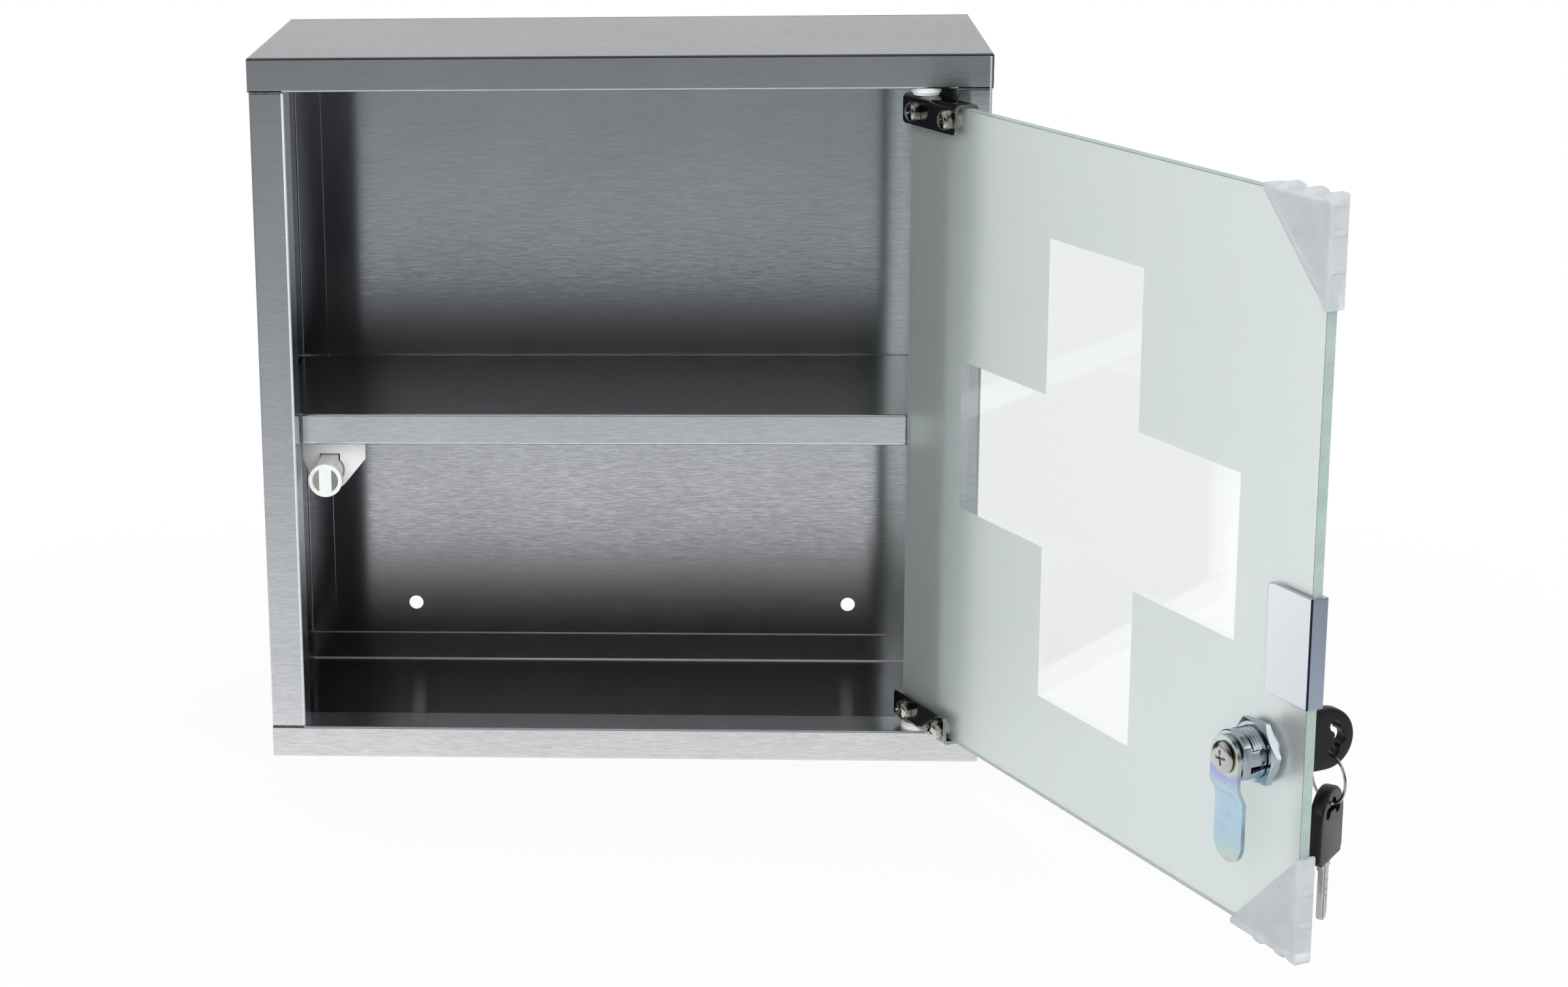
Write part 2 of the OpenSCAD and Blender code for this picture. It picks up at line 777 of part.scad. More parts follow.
// Moulded head of a key, lying flat, with its shoulder at the origin
module key_head_shape() {
    round_r = key_head_w / 2;
    corner = round_r / 4;
    difference() {
        translate([0, 0, -key_head_t / 2]) linear_extrude(key_head_t) difference() {
            union() {
                round_box([0, -round_r], [key_head_l - round_r, round_r], corner);
                translate([key_head_l - round_r - corner, -round_r]) square([corner, key_head_w]);
                translate([key_head_l - round_r, 0]) circle(round_r);
            }
            for (b = [-eye_side_b, eye_side_b]) translate([eye_side_a, b]) circle(eye_side_r);
            translate([eye_mid_a, 0]) circle(eye_mid_r);
        }
        box([-cut, -key_neck_w / 2 - fixed_fit, -key_blade_t / 2 - fixed_fit],
            [key_tang_l + fixed_fit, key_neck_w / 2 + fixed_fit, key_blade_t / 2 + fixed_fit]);
    }
}

// Blade of a key with its stepped neck, and the tang that the head is moulded on
module key_blade_shape() {
    tip_r = key_blade_w / 2;
    translate([0, 0, -key_blade_t / 2]) linear_extrude(key_blade_t) {
        translate([-key_neck_l, -key_neck_w / 2]) square([key_neck_l + key_tang_l, key_neck_w]);
        translate([tip_r - key_blade_l, -tip_r]) square([key_blade_l - tip_r, key_blade_w]);
        translate([tip_r - key_blade_l, 0]) circle(tip_r);
    }
}

// Places the key that stands in the lock, and the spare that hangs from the ring
module in_lock() {
    on_door() translate([lock_x, key_shoulder, lock_z]) rotate([90, 0, 0]) rotate([0, -90, 0])
        children();
}

module on_ring() {
    on_door() translate([lock_x, ring_plane, spare_shoulder_z]) rotate(spare_twist)
        rotate([0, -90, 0]) children();
}

module key_head() {
    color([0.12, 0.13, 0.16]) in_lock() key_head_shape();
}

module key_blade() {
    color("silver") in_lock() key_blade_shape();
}

module key_ring() {
    color("silver") on_door() translate([lock_x, ring_plane, ring_z]) rotate([90, 0, 0])
        rotate_extrude() translate([ring_r, 0]) circle(d = ring_wire_d, $fn = 24);
}

module spare_key_head() {
    color([0.12, 0.13, 0.16]) on_ring() key_head_shape();
}

module spare_key_blade() {
    color("silver") on_ring() key_blade_shape();
}

// Outline of the latch's plate, with its foot upwards
module latch_outline() {
    foot = latch_drop - sheet_t;
    left = [-latch_left, latch_shoulder_z];
    right = [latch_right, latch_shoulder_z];
    circle(latch_plate_r);
    polygon([[-latch_left, foot], left, touch(left, latch_plate_r, 1), [0, 0],
        touch(right, latch_plate_r, -1), right, [latch_right, foot]]);
}

// Section of the stem and of the guide tab on top of it
module stem_section(play) {
    tab = latch_tab_w / 2 + play;
    circle(d = latch_stem_d + 2 * play);
    translate([-tab, 0]) square([2 * tab, latch_stem_d / 2 + latch_tab_h + play]);
}

module latch_housing() {
    tube_r = latch_stem_d / 2 + latch_tab_h + latch_wall;
    back_y = latch_head_y + latch_head_t + latch_stem_l + latch_travel + latch_end_wall;
    inner_y = latch_plate_y + latch_plate_t;
    foot = latch_drop - sheet_t;
    color("white") translate([latch_x, 0, latch_z]) difference() {
        union() {
            along_y(latch_plate_y, inner_y) latch_outline();
            along_y(latch_plate_y, back_y) {
                circle(tube_r);
                translate([-latch_plate_t, 0]) square([2 * latch_plate_t, foot]);
            }
            along_y(latch_plate_y, back_y) translate([-latch_left, foot - latch_flange_t])
                square([latch_left + latch_right, latch_flange_t]);
        }
        along_y(latch_plate_y - cut, inner_y) stem_section(latch_hole_play);
        along_y(latch_plate_y, back_y - latch_end_wall + running_fit) stem_section(running_fit);
    }
}

// Faces of the two poles, on each side of the bar across the head
module pole_section(play) {
    bar = latch_bar_w / 2 - play;
    difference() {
        circle(r = latch_pole_r + play);
        translate([-bar, -latch_head_d]) square([2 * bar, 2 * latch_head_d]);
    }
}

module latch_plunger() {
    pocket_y = latch_head_y + latch_pole_recess + latch_pole_t;
    magnet = [latch_bar_w, latch_magnet_h] / 2;
    color("white") translate([latch_x, 0, latch_z]) difference() {
        union() {
            along_y(latch_head_y, latch_head_y + latch_head_t) circle(d = latch_head_d);
            along_y(latch_head_y + latch_head_t, latch_head_y + latch_head_t + latch_stem_l)
                stem_section(0);
        }
        along_y(latch_head_y - cut, pocket_y + fixed_fit) pole_section(fixed_fit);
        box([-magnet[0], latch_head_y + latch_face_t, -magnet[1]],
            [magnet[0], pocket_y + fixed_fit, magnet[1]]);
    }
}

module latch_poles() {
    color("gray") translate([latch_x, 0, latch_z])
        along_y(latch_head_y + latch_pole_recess, latch_head_y + latch_pole_recess + latch_pole_t)
            pole_section(0);
}

module latch_magnet() {
    magnet = [latch_bar_w, latch_magnet_h] / 2 - [fixed_fit, fixed_fit];
    color("dimgray") translate([latch_x, 0, latch_z])
        box([-magnet[0], latch_head_y + latch_face_t + fixed_fit, -magnet[1]],
            [magnet[0], latch_head_y + latch_pole_recess + latch_pole_t, magnet[1]]);
}

top_cap();
bottom_pan();
left_side();
right_side();
back_panel();
shelf();
upper_bushing();
lower_bushing();
latch_housing();
latch_plunger();
latch_poles();
latch_magnet();
glass_door();
upper_hinge_clamp();
lower_hinge_clamp();
upper_hinge_pin();
lower_hinge_pin();
upper_clamp_pad();
lower_clamp_pad();
clamp_screws();
pressure_pads();
pull_clip();
top_corner_guard();
bottom_corner_guard();
lock_body();
lock_nut();
lock_gasket();
lock_plug();
stop_washer();
cam();
cam_washer();
cam_screw();
key_head();
key_blade();
key_ring();
spare_key_head();
spare_key_blade();
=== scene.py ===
"""Looks of the glass door medical cabinet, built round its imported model."""

import json
import logging
import math
from dataclasses import dataclass, field
from enum import Enum
from typing import Any, Iterable, Sequence

import bmesh
import bpy
from mathutils import Matrix, Vector


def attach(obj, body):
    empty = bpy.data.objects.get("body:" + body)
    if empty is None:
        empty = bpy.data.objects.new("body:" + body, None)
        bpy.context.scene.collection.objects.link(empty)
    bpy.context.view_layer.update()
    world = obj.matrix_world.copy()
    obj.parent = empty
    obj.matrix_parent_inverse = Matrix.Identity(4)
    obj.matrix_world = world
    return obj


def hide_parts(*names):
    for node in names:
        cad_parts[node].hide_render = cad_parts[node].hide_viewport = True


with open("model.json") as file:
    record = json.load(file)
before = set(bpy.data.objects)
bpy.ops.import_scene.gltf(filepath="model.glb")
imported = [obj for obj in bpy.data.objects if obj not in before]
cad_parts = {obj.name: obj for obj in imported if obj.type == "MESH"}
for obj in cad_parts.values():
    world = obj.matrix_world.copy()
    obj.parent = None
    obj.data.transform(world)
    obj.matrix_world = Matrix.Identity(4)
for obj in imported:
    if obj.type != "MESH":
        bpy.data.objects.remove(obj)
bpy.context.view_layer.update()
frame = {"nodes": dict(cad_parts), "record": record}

LOG = logging.getLogger("cabinet")
MM = 0.001
WHITE = (1.0, 1.0, 1.0, 1.0)
BUMP_DEPTH = 0.0001

Triple = tuple[float, float, float]
Band = tuple[float, float, float, float]


# Node trees


class Wiring:
    """Adds nodes and links to one shader node tree."""

    def __init__(self, tree: bpy.types.NodeTree) -> None:
        """Keeps the tree that the nodes go into."""
        self.tree = tree

    def node(self, kind: str, **settings: Any) -> bpy.types.Node:
        """Adds a node and sets its properties.

        Args:
            kind: The node's class name without its ShaderNode prefix.
            settings: Properties of the node, by name.

        Returns:
            The new node.
        """
        made = self.tree.nodes.new("ShaderNode" + kind)
        for name, value in settings.items():
            setattr(made, name, value)
        return made

    def feed(self, node: bpy.types.Node, **values: Any) -> bpy.types.Node:
        """Sets or links a node's inputs.

        Args:
            node: The node to feed.
            values: Input names in lower case with underscores, and a socket or a plain value for each.

        Returns:
            The same node.
        """
        for name, value in values.items():
            socket = self.socket(node, name)
            if isinstance(value, bpy.types.NodeSocket):
                self.tree.links.new(value, socket)
            else:
                socket.default_value = value
        return node

    @staticmethod
    def socket(node: bpy.types.Node, name: str) -> bpy.types.NodeSocket:
        """Finds an input by its name, or by its place where names repeat.

        Args:
            node: The node that has the input.
            name: The input's name in lower case with underscores, or "in0", "in1" and so on.

        Returns:
            The input socket.
        """
        if name[:2] == "in" and name[2:].isdigit():
            return node.inputs[int(name[2:])]
        wanted = name.replace("_", " ")
        for socket in node.inputs:
            if socket.name.lower() == wanted and socket.enabled:
                return socket
        raise KeyError(f"{node.name} has no input {name}")

    def maths(self, operation: str, first: Any, second: Any = 0.0, clamp: bool = False) -> Any:
        """Adds a Math node.

        Args:
            operation: The node's operation.
            first: First socket or value.
            second: Second socket or value.
            clamp: Whether the result is held between 0 and 1.

        Returns:
            The node's output socket.
        """
        node = self.node("Math", operation=operation, use_clamp=clamp)
        return self.feed(node, in0=first, in1=second).outputs[0]

    def ramp(self, value: Any, low: float, high: float, to_low: float = 0.0, to_high: float = 1.0) -> Any:
        """Maps a value smoothly from one range to another and holds it there.

        Args:
            value: Socket to map.
            low: Value that gives to_low.
            high: Value that gives to_high.
            to_low: Result at low.
            to_high: Result at high.

        Returns:
            The mapped socket.
        """
        node = self.node("MapRange", interpolation_type="SMOOTHSTEP")
        self.feed(node, value=value, from_min=low, from_max=high, to_min=to_low, to_max=to_high)
        return node.outputs[0]

    def blend(self, factor: Any, first: Any, second: Any) -> Any:
        """Mixes two colours.

        Args:
            factor: Share of the second colour.
            first: First colour.
            second: Second colour.

        Returns:
            The mixed colour socket.
        """
        node = self.node("Mix", data_type="RGBA")
        return self.feed(node, in0=factor, in6=first, in7=second).outputs[2]

    def choose(self, factor: Any, first: Any, second: Any) -> Any:
        """Mixes two values.

        Args:
            factor: Share of the second value.
            first: First value.
            second: Second value.

        Returns:
            The mixed value socket.
        """
        node = self.node("Mix", data_type="FLOAT")
        return self.feed(node, in0=factor, in2=first, in3=second).outputs[0]

    def vector(self, operation: str, **values: Any) -> Any:
        """Adds a Vector Math node and gives its vector."""
        return self.feed(self.node("VectorMath", operation=operation), **values).outputs[0]

    def parts(self, vector: Any) -> Any:
        """Splits a vector into its three parts."""
        return self.feed(self.node("SeparateXYZ"), vector=vector).outputs

    def bump(self, strength: float, height: Any) -> Any:
        """Adds a Bump node over a height and gives its normal."""
        return self.feed(self.node("Bump"), strength=strength, distance=BUMP_DEPTH, height=height).outputs[0]

    def object_point(self) -> Any:
        """Gives the Object coordinates."""
        return self.node("TexCoord").outputs["Object"]

    def mapping(self, point: Any, place: "Place") -> Any:
        """Turns model coordinates in metres into a sub-assembly's own millimetres.

        Args:
            point: Model coordinates.
            place: Where the sub-assembly's own axes lie.

        Returns:
            The socket with the sub-assembly's coordinates.
        """
        node = self.node("Mapping", vector_type="POINT")
        back = Matrix.Rotation(-place.turn, 3, "Z") @ (Vector(place.origin) / MM)
        self.feed(node, vector=point)
        node.inputs["Scale"].default_value = (1 / MM, 1 / MM, 1 / MM)
        node.inputs["Rotation"].default_value = (0.0, 0.0, -place.turn)
        node.inputs["Location"].default_value = tuple(-back)
        return node.outputs[0]

    def slab(self, point: Any, low: Sequence[float], high: Sequence[float]) -> Any:
        """Gives a mask that is one inside a box of the model.

        Args:
            point: Model coordinates.
            low: The box's lowest corner in millimetres.
            high: Its highest corner.

        Returns:
            The mask's socket.
        """
        past = self.vector("SUBTRACT", in0=point, in1=tuple(value * MM for value in low))
        short = self.vector("SUBTRACT", in0=tuple(value * MM for value in high), in1=point)
        least = self.parts(self.vector("MINIMUM", in0=past, in1=short))
        lowest = self.maths("MINIMUM", least[0], self.maths("MINIMUM", least[1], least[2]))
        return self.maths("GREATER_THAN", lowest, 0.0)

    def noise(self, point: Any, scale: float, detail: float = 2.0, roughness: float = 0.5) -> Any:
        """Adds a noise texture and gives its value."""
        node = self.node("TexNoise")
        return self.feed(node, vector=point, scale=scale, detail=detail, roughness=roughness).outputs[0]


def colour(shade: Sequence[float]) -> tuple[float, ...]:
    """Gives a linear colour with an alpha of one for an sRGB triple of 0 to 255.

    Args:
        shade: Red, green and blue, from 0 to 255.

    Returns:
        The linear colour that Blender's sockets take.
    """
    linear = []
    for part in shade:
        part = part / 255
        linear.append(part / 12.92 if part <= 0.04045 else ((part + 0.055) / 1.055) ** 2.4)
    return (*linear, 1.0)


@dataclass(frozen=True)
class Place:
    """Where a sub-assembly's own millimetres lie in the model, in metres and radians."""

    origin: Triple
    turn: float
    inner: Matrix = field(default_factory=lambda: Matrix.Identity(4))

    def matrix(self) -> Matrix:
        """Gives the matrix that takes the sub-assembly's millimetres into the model."""
        outer = Matrix.Translation(self.origin) @ Matrix.Rotation(self.turn, 4, "Z")
        return outer @ Matrix.Scale(MM, 4) @ self.inner

    def within(self, *steps: Matrix) -> "Place":
        """Gives a place inside this one.

        Args:
            steps: Matrices in millimetres, outermost first.

        Returns:
            The inner place.
        """
        inner = self.inner
        for step in steps:
            inner = inner @ step
        return Place(self.origin, self.turn, inner)


def shift(x: float, y: float, z: float) -> Matrix:
    """Gives the matrix of a move in millimetres."""
    return Matrix.Translation((x, y, z))


def spin_about(degrees: float, axis: str) -> Matrix:
    """Gives the matrix of a turn about an axis."""
    return Matrix.Rotation(math.radians(degrees), 4, axis)


CASE_PLACE = Place((0.0, 0.0, 0.0), 0.0)
DOOR_PLACE = Place((0.12375, -0.1185, 0.0), math.radians(117.0))


class Effects:
    """Shader node groups that several finishes share."""

    belt_stretch = (210.0, 3300.0, 3300.0)
    belt_coarse = 0.36
    wear_reach = 0.0005
    wear_turns = (0.995, 0.90)
    wear_gaps = 0.5
    wear_patches = 900.0
    cloud_scale = 14.0
    spread = (0.3, 0.7)

    def __init__(self) -> None:
        """Builds each group once."""
        self.grain = self.brushed_grain()
        self.wear = self.edge_wear()
        self.cloud = self.cloudiness()

    @staticmethod
    def group(name: str, inputs: dict[str, Any], *outputs: str) -> tuple[Any, Wiring, Any, Any]:
        """Starts a node group with named sockets.

        Args:
            name: The group's name.
            inputs: Default values by socket name; None makes a vector socket.
            outputs: Names of the values that it puts out.

        Returns:
            The group, its wiring, its input node's sockets and its output node.
        """
        tree = bpy.data.node_groups.new(name, "ShaderNodeTree")
        for label, value in inputs.items():
            kind = "NodeSocketFloat" if isinstance(value, float) else "NodeSocketVector"
            socket = tree.interface.new_socket(name=label, in_out="INPUT", socket_type=kind)
            if value is not None:
                socket.default_value = value
        for label in outputs:
            tree.interface.new_socket(name=label, in_out="OUTPUT", socket_type="NodeSocketFloat")
        given = tree.nodes.new("NodeGroupInput").outputs
        return tree, Wiring(tree), given, tree.nodes.new("NodeGroupOutput")

    def brushed_grain(self) -> bpy.types.NodeTree:
        """Builds the lines that a belt leaves on sheet metal.

        Returns:
            A group whose Line and Streak are values round one half.
        """
        inputs = {"Vector": None, "Stretch": self.belt_stretch, "Coarse": self.belt_coarse}
        tree, wires, given, end = self.group("brushed grain", inputs, "Line", "Streak")
        fine = wires.vector("MULTIPLY", in0=given["Vector"], in1=given["Stretch"])
        coarse = wires.vector("SCALE", in0=fine, scale=given["Coarse"])
        line = wires.noise(fine, 1.0, 3.0, 0.7)
        streak = wires.noise(coarse, 1.0, 2.0, 0.6)
        wires.feed(end, line=line, streak=streak)
        return tree

    def edge_wear(self) -> bpy.types.NodeTree:
        """Builds a mask that is one on worn edges.

        Returns:
            A group whose Edge comes from the Bevel node's turned normal.
        """
        inputs = {"Vector": None, "Radius": self.wear_reach, "Break Up": self.wear_gaps}
        tree, wires, given, end = self.group("edge wear", inputs, "Edge")
        bevel = wires.feed(wires.node("Bevel", samples=4), radius=given["Radius"])
        true = wires.node("NewGeometry").outputs["Normal"]
        dot = wires.node("VectorMath", operation="DOT_PRODUCT")
        wires.feed(dot, in0=bevel.outputs[0], in1=true)
        edge = wires.ramp(dot.outputs["Value"], *self.wear_turns)
        patches = wires.ramp(wires.noise(given["Vector"], self.wear_patches), *self.spread)
        kept = wires.maths("MULTIPLY", patches, given["Break Up"])
        wires.feed(end, edge=wires.maths("MULTIPLY", edge, wires.maths("SUBTRACT", 1.0, kept)))
        return tree

    def cloudiness(self) -> bpy.types.NodeTree:
        """Builds slow blotches, as handling leaves them.

        Returns:
            A group whose Cloud is a value from zero to one.
        """
        inputs = {"Vector": None, "Scale": self.cloud_scale}
        tree, wires, given, end = self.group("cloudiness", inputs, "Cloud")
        cloud = wires.noise(given["Vector"], given["Scale"], 3.0)
        wires.feed(end, cloud=wires.ramp(cloud, *self.spread))
        return tree

    @staticmethod
    def place(wires: Wiring, tree: bpy.types.NodeTree, **values: Any) -> Any:
        """Places a group in a material, with values for its inputs, and gives its outputs."""
        return wires.feed(wires.node("Group", node_tree=tree), **values).outputs


EFFECTS = Effects()


# Finishes


class Finish:
    """A surface that a piece can be dressed in."""

    name: str

    def start(self) -> tuple[bpy.types.Material, Wiring, bpy.types.Node]:
        """Makes a material with a plain Principled shader.

        Returns:
            The material, its wiring and its shader node.
        """
        material = bpy.data.materials.new(self.name)
        material.use_nodes = True
        return material, Wiring(material.node_tree), material.node_tree.nodes["Principled BSDF"]

    def material(self) -> bpy.types.Material:
        """Makes the finish's material."""
        raise NotImplementedError

    def dress(self, *pieces: bpy.types.Object) -> None:
        """Puts the finish on pieces.

        Args:
            pieces: The objects whose material slots take it.
        """
        made = bpy.data.materials.get(self.name) or self.material()
        for piece in pieces:
            piece.data.materials.clear()
            piece.data.materials.append(made)


class Brushing(Enum):
    """The way that the belt's lines run, with the way that they spread a highlight."""

    ALONG_CASE = ((210.0, 3300.0, 3300.0), (0.0, 1.0, 1.0))
    ALONG_DEPTH = ((3300.0, 210.0, 3300.0), (0.0, 0.0, 1.0))


@dataclass(frozen=True)
class PaintedStrip:
    """A thin box of the model in which a surface shows a painted line of shade, highlight or reflection, in
    millimetres.
    """

    low: Triple
    high: Triple
    shade: Triple
    metallic: float = 1.0


FRONT = (-125.6, -123.0)
CAP_SEAM = (135.2, 136.6)
PAN_SEAM = (-137.0, -135.9)
FLANGES = ((-150.5, -136.0), (136.0, 150.5))
# Painted shade for the seams of the front frame
SEAM_PAINTED_SHADE = (14, 14, 16)
# A painted dark reflection and a painted white highlight for the folds of the front frame
FOLD_PAINTED_DARK_REFLECTION = (112, 114, 120)
FOLD_PAINTED_HIGHLIGHT = (232, 236, 246)
# Painted shade, highlights and reflections on the case's sheet
SHEET_PAINTED_LIGHT = (
    # Painted shade: black lines in the seams between the side flanges and those of the cap and the pan
    *(
        PaintedStrip((left, FRONT[0], seam[0]), (right, FRONT[1], seam[1]), SEAM_PAINTED_SHADE, 0.0)
        for seam in (CAP_SEAM, PAN_SEAM)
        for left, right in FLANGES
    ),
    # Painted reflections at the bends of the front frame: a dark line under the cap's fold, a white
    # highlight on the left flange's inner bend, and a white highlight and a dark line at the right flange's
    # two
    PaintedStrip((-151.0, FRONT[0], 148.9), (151.0, FRONT[1], 149.8), FOLD_PAINTED_DARK_REFLECTION),
    PaintedStrip((-136.3, FRONT[0], -135.8), (-135.4, FRONT[1], 135.4), FOLD_PAINTED_HIGHLIGHT, 0.0),
    PaintedStrip((148.5, FRONT[0], 100.0), (149.1, FRONT[1], 148.8), FOLD_PAINTED_HIGHLIGHT, 0.4),
    PaintedStrip((149.5, FRONT[0], -151.0), (150.5, FRONT[1], 151.0), FOLD_PAINTED_DARK_REFLECTION),
    # Painted shade darkening the pan's floor, and two painted highlight lines where the back panel meets it
    PaintedStrip((-149.3, -124.4, -149.9), (149.3, -0.6, -149.2), (178, 175, 179)),
    PaintedStrip((-149.3, -3.0, -137.0), (149.3, -0.5, -136.35), (120, 120, 124), 0.0),
    PaintedStrip((-149.3, -2.2, -149.6), (149.3, -0.9, -148.9), (190, 192, 198), 0.0),
    # Painted shade: darker on the left wall's inside, black on the right lip's return, darker in the room
    # behind that lip; a painted brighter reflection on the shelf's front lip
    PaintedStrip((-149.3, -124.0, -149.3), (-148.8, -1.2, 149.3), (94, 94, 104)),
    PaintedStrip((135.2, -124.3, -136.2), (135.8, -107.0, 136.2), (10, 9, 10), 0.0),
    PaintedStrip((135.9, -124.3, -149.3), (149.3, -0.8, 149.3), (112, 122, 118)),
    PaintedStrip((-149.3, -107.3, -16.5), (149.3, -105.9, -3.6), (244, 245, 247)),
)


@dataclass(frozen=True)
class BrushedSteel(Finish):
    """Stainless sheet with belt lines, soft clouding and worn edges, and the painted shade, highlights and
    reflections of the case's seams, folds, inner walls and lips.
    """

    name: str
    brushing: Brushing
    shade: Triple = (226, 227, 229)
    edge_shade: Triple = (225, 226, 228)
    roughness: float = 0.2
    rough_swing: float = 0.05
    anisotropy: float = 1.0
    relief: float = 0.005
    cloud_scale: float = 16.0
    line_tones: Band = (0.28, 0.72, 0.92, 1.07)
    streak_tones: Band = (0.3, 0.7, 0.975, 1.02)
    cloud_tones: Band = (0.0, 1.0, 0.97, 1.02)
    front_share: float = 0.7

    def material(self) -> bpy.types.Material:
        """Makes the sheet's material.

        Returns:
            The material.
        """
        material, wires, shader = self.start()
        point = wires.object_point()
        stretch, spread = self.brushing.value
        line, streak = EFFECTS.place(wires, EFFECTS.grain, vector=point, stretch=stretch)
        if self.brushing is Brushing.ALONG_DEPTH:
            across = EFFECTS.place(wires, EFFECTS.grain, vector=point, stretch=Brushing.ALONG_CASE.value[0])
            facing = wires.parts(wires.node("NewGeometry").outputs["Normal"])[1]
            front = wires.maths("GREATER_THAN", wires.maths("ABSOLUTE", facing), self.front_share)
            line = wires.choose(front, line, across["Line"])
            streak = wires.choose(front, streak, across["Streak"])
        cloud = EFFECTS.place(wires, EFFECTS.cloud, vector=point, scale=self.cloud_scale)["Cloud"]
        lines, streaks = wires.ramp(line, *self.line_tones), wires.ramp(streak, *self.streak_tones)
        level = wires.maths("MULTIPLY", lines, streaks)
        level = wires.maths("MULTIPLY", level, wires.ramp(cloud, *self.cloud_tones))
        tone, metal = colour(self.shade), 1.0
        # Paints the lines of shade, highlight and reflection of the seams, folds, inner walls and lips
        for strip in SHEET_PAINTED_LIGHT:
            mask = wires.slab(point, strip.low, strip.high)
            tone = wires.blend(mask, tone, colour(strip.shade))
            if strip.metallic < 1.0:
                metal = wires.maths("MINIMUM", metal, wires.ramp(mask, 0.0, 1.0, 1.0, strip.metallic))
        wear = EFFECTS.place(wires, EFFECTS.wear, vector=point)["Edge"]
        # worn holds the painted lines as well as the wear
        worn = wires.blend(wear, wires.vector("SCALE", in0=tone, scale=level), colour(self.edge_shade))
        smooth, coarse = self.roughness - self.rough_swing, self.roughness + self.rough_swing
        rough = wires.ramp(line, 0.2, 0.8, coarse, smooth)
        axis = wires.feed(wires.node("CombineXYZ"), x=spread[0], y=spread[1], z=spread[2])
        wires.feed(
            shader,
            base_color=worn,
            metallic=metal,
            roughness=wires.maths("MAXIMUM", rough, wires.maths("SUBTRACT", 1.0, metal)),
            anisotropic=self.anisotropy,
            normal=wires.bump(self.relief, line),
            tangent=axis.outputs[0],
        )
        return material


@dataclass(frozen=True)
class Plating(Finish):
    """A bright or dark plated metal with faint haze, worn edges and any lines of painted shade that it is
    given.
    """

    name: str
    shade: Triple = (200, 200, 204)
    edge_shade: Triple = (235, 235, 238)
    roughness: float = 0.10
    haze: float = 0.06
    lines: tuple[PaintedStrip, ...] = ()
    wear_reach: float = 0.0003
    cloud_scale: float = 220.0
    pit_scale: float = 2600.0
    pit_relief: float = 0.04

    def material(self) -> bpy.types.Material:
        """Makes the plating's material.

        Returns:
            The material.
        """
        material, wires, shader = self.start()
        point = wires.object_point()
        cloud = EFFECTS.place(wires, EFFECTS.cloud, vector=point, scale=self.cloud_scale)["Cloud"]
        wear = EFFECTS.place(wires, EFFECTS.wear, vector=point, radius=self.wear_reach)["Edge"]
        worn = wires.blend(wear, colour(self.shade), colour(self.edge_shade))
        # Lays on the painted shade and reflection lines, in the door's millimetres
        if self.lines:
            on_door = wires.vector("SCALE", in0=wires.mapping(point, DOOR_PLACE), scale=MM)
        for strip in self.lines:
            worn = wires.blend(wires.slab(on_door, strip.low, strip.high), worn, colour(strip.shade))
        rough = wires.ramp(cloud, 0.0, 1.0, self.roughness, self.roughness + self.haze)
        pits = wires.bump(self.pit_relief, wires.noise(point, self.pit_scale))
        wires.feed(shader, base_color=worn, metallic=1.0, roughness=rough, normal=pits)
        return material


@dataclass(frozen=True)
class ZincPassivate(Finish):
    """Zinc plate with the rainbow film that its passivation leaves."""

    name: str
    roughness: float = 0.24
    patch_shade: Triple = (204, 202, 242)
    edge_shade: Triple = (214, 226, 216)
    heights: tuple[float, float] = (-104.5, -53.5)
    wear_reach: float = 0.0003
    drift_scale: float = 160.0
    drift_reach: float = 0.05
    patch_scale: float = 210.0
    patch_tones: Band = (0.5, 0.72, 0.0, 0.55)
    spot_scale: float = 1500.0
    spot_relief: float = 0.12
    rough_swing: tuple[float, float] = (0.05, 0.08)
    film: tuple[tuple[float, Triple], ...] = (
        (0.0, (222, 234, 218)),
        (0.08, (198, 228, 238)),
        (0.35, (202, 228, 250)),
        (0.6, (198, 230, 236)),
        (0.72, (192, 184, 232)),
        (0.76, (212, 230, 224)),
        (0.84, (228, 230, 202)),
        (1.0, (222, 238, 236)),
    )

    def material(self) -> bpy.types.Material:
        """Makes the passivated zinc's material.

        Returns:
            The material.
        """
        material, wires, shader = self.start()
        point = wires.object_point()
        along = wires.parts(wires.mapping(point, DOOR_PLACE))[2]
        drift = wires.noise(point, self.drift_scale, 3.0, 0.6)
        drift = wires.ramp(drift, 0.2, 0.8, -self.drift_reach, self.drift_reach)
        film = wires.node("ValToRGB")
        wires.feed(film, fac=wires.maths("ADD", wires.ramp(along, *self.heights), drift))
        elements = film.color_ramp.elements
        for index, (position, shade) in enumerate(self.film):
            element = elements[index] if index < 2 else elements.new(position)
            element.position = position
            element.color = colour(shade)
        patches = wires.ramp(wires.noise(point, self.patch_scale), *self.patch_tones)
        tinted = wires.blend(patches, film.outputs[0], colour(self.patch_shade))
        wear = EFFECTS.place(wires, EFFECTS.wear, vector=point, radius=self.wear_reach)["Edge"]
        worn = wires.blend(wear, tinted, colour(self.edge_shade))
        spots = wires.noise(point, self.spot_scale, 3.0, 0.7)
        below, above = self.rough_swing
        rough = wires.ramp(spots, 0.3, 0.7, self.roughness - below, self.roughness + above)
        pits = wires.bump(self.spot_relief, spots)
        wires.feed(shader, base_color=worn, metallic=1.0, roughness=rough, normal=pits)
        return material


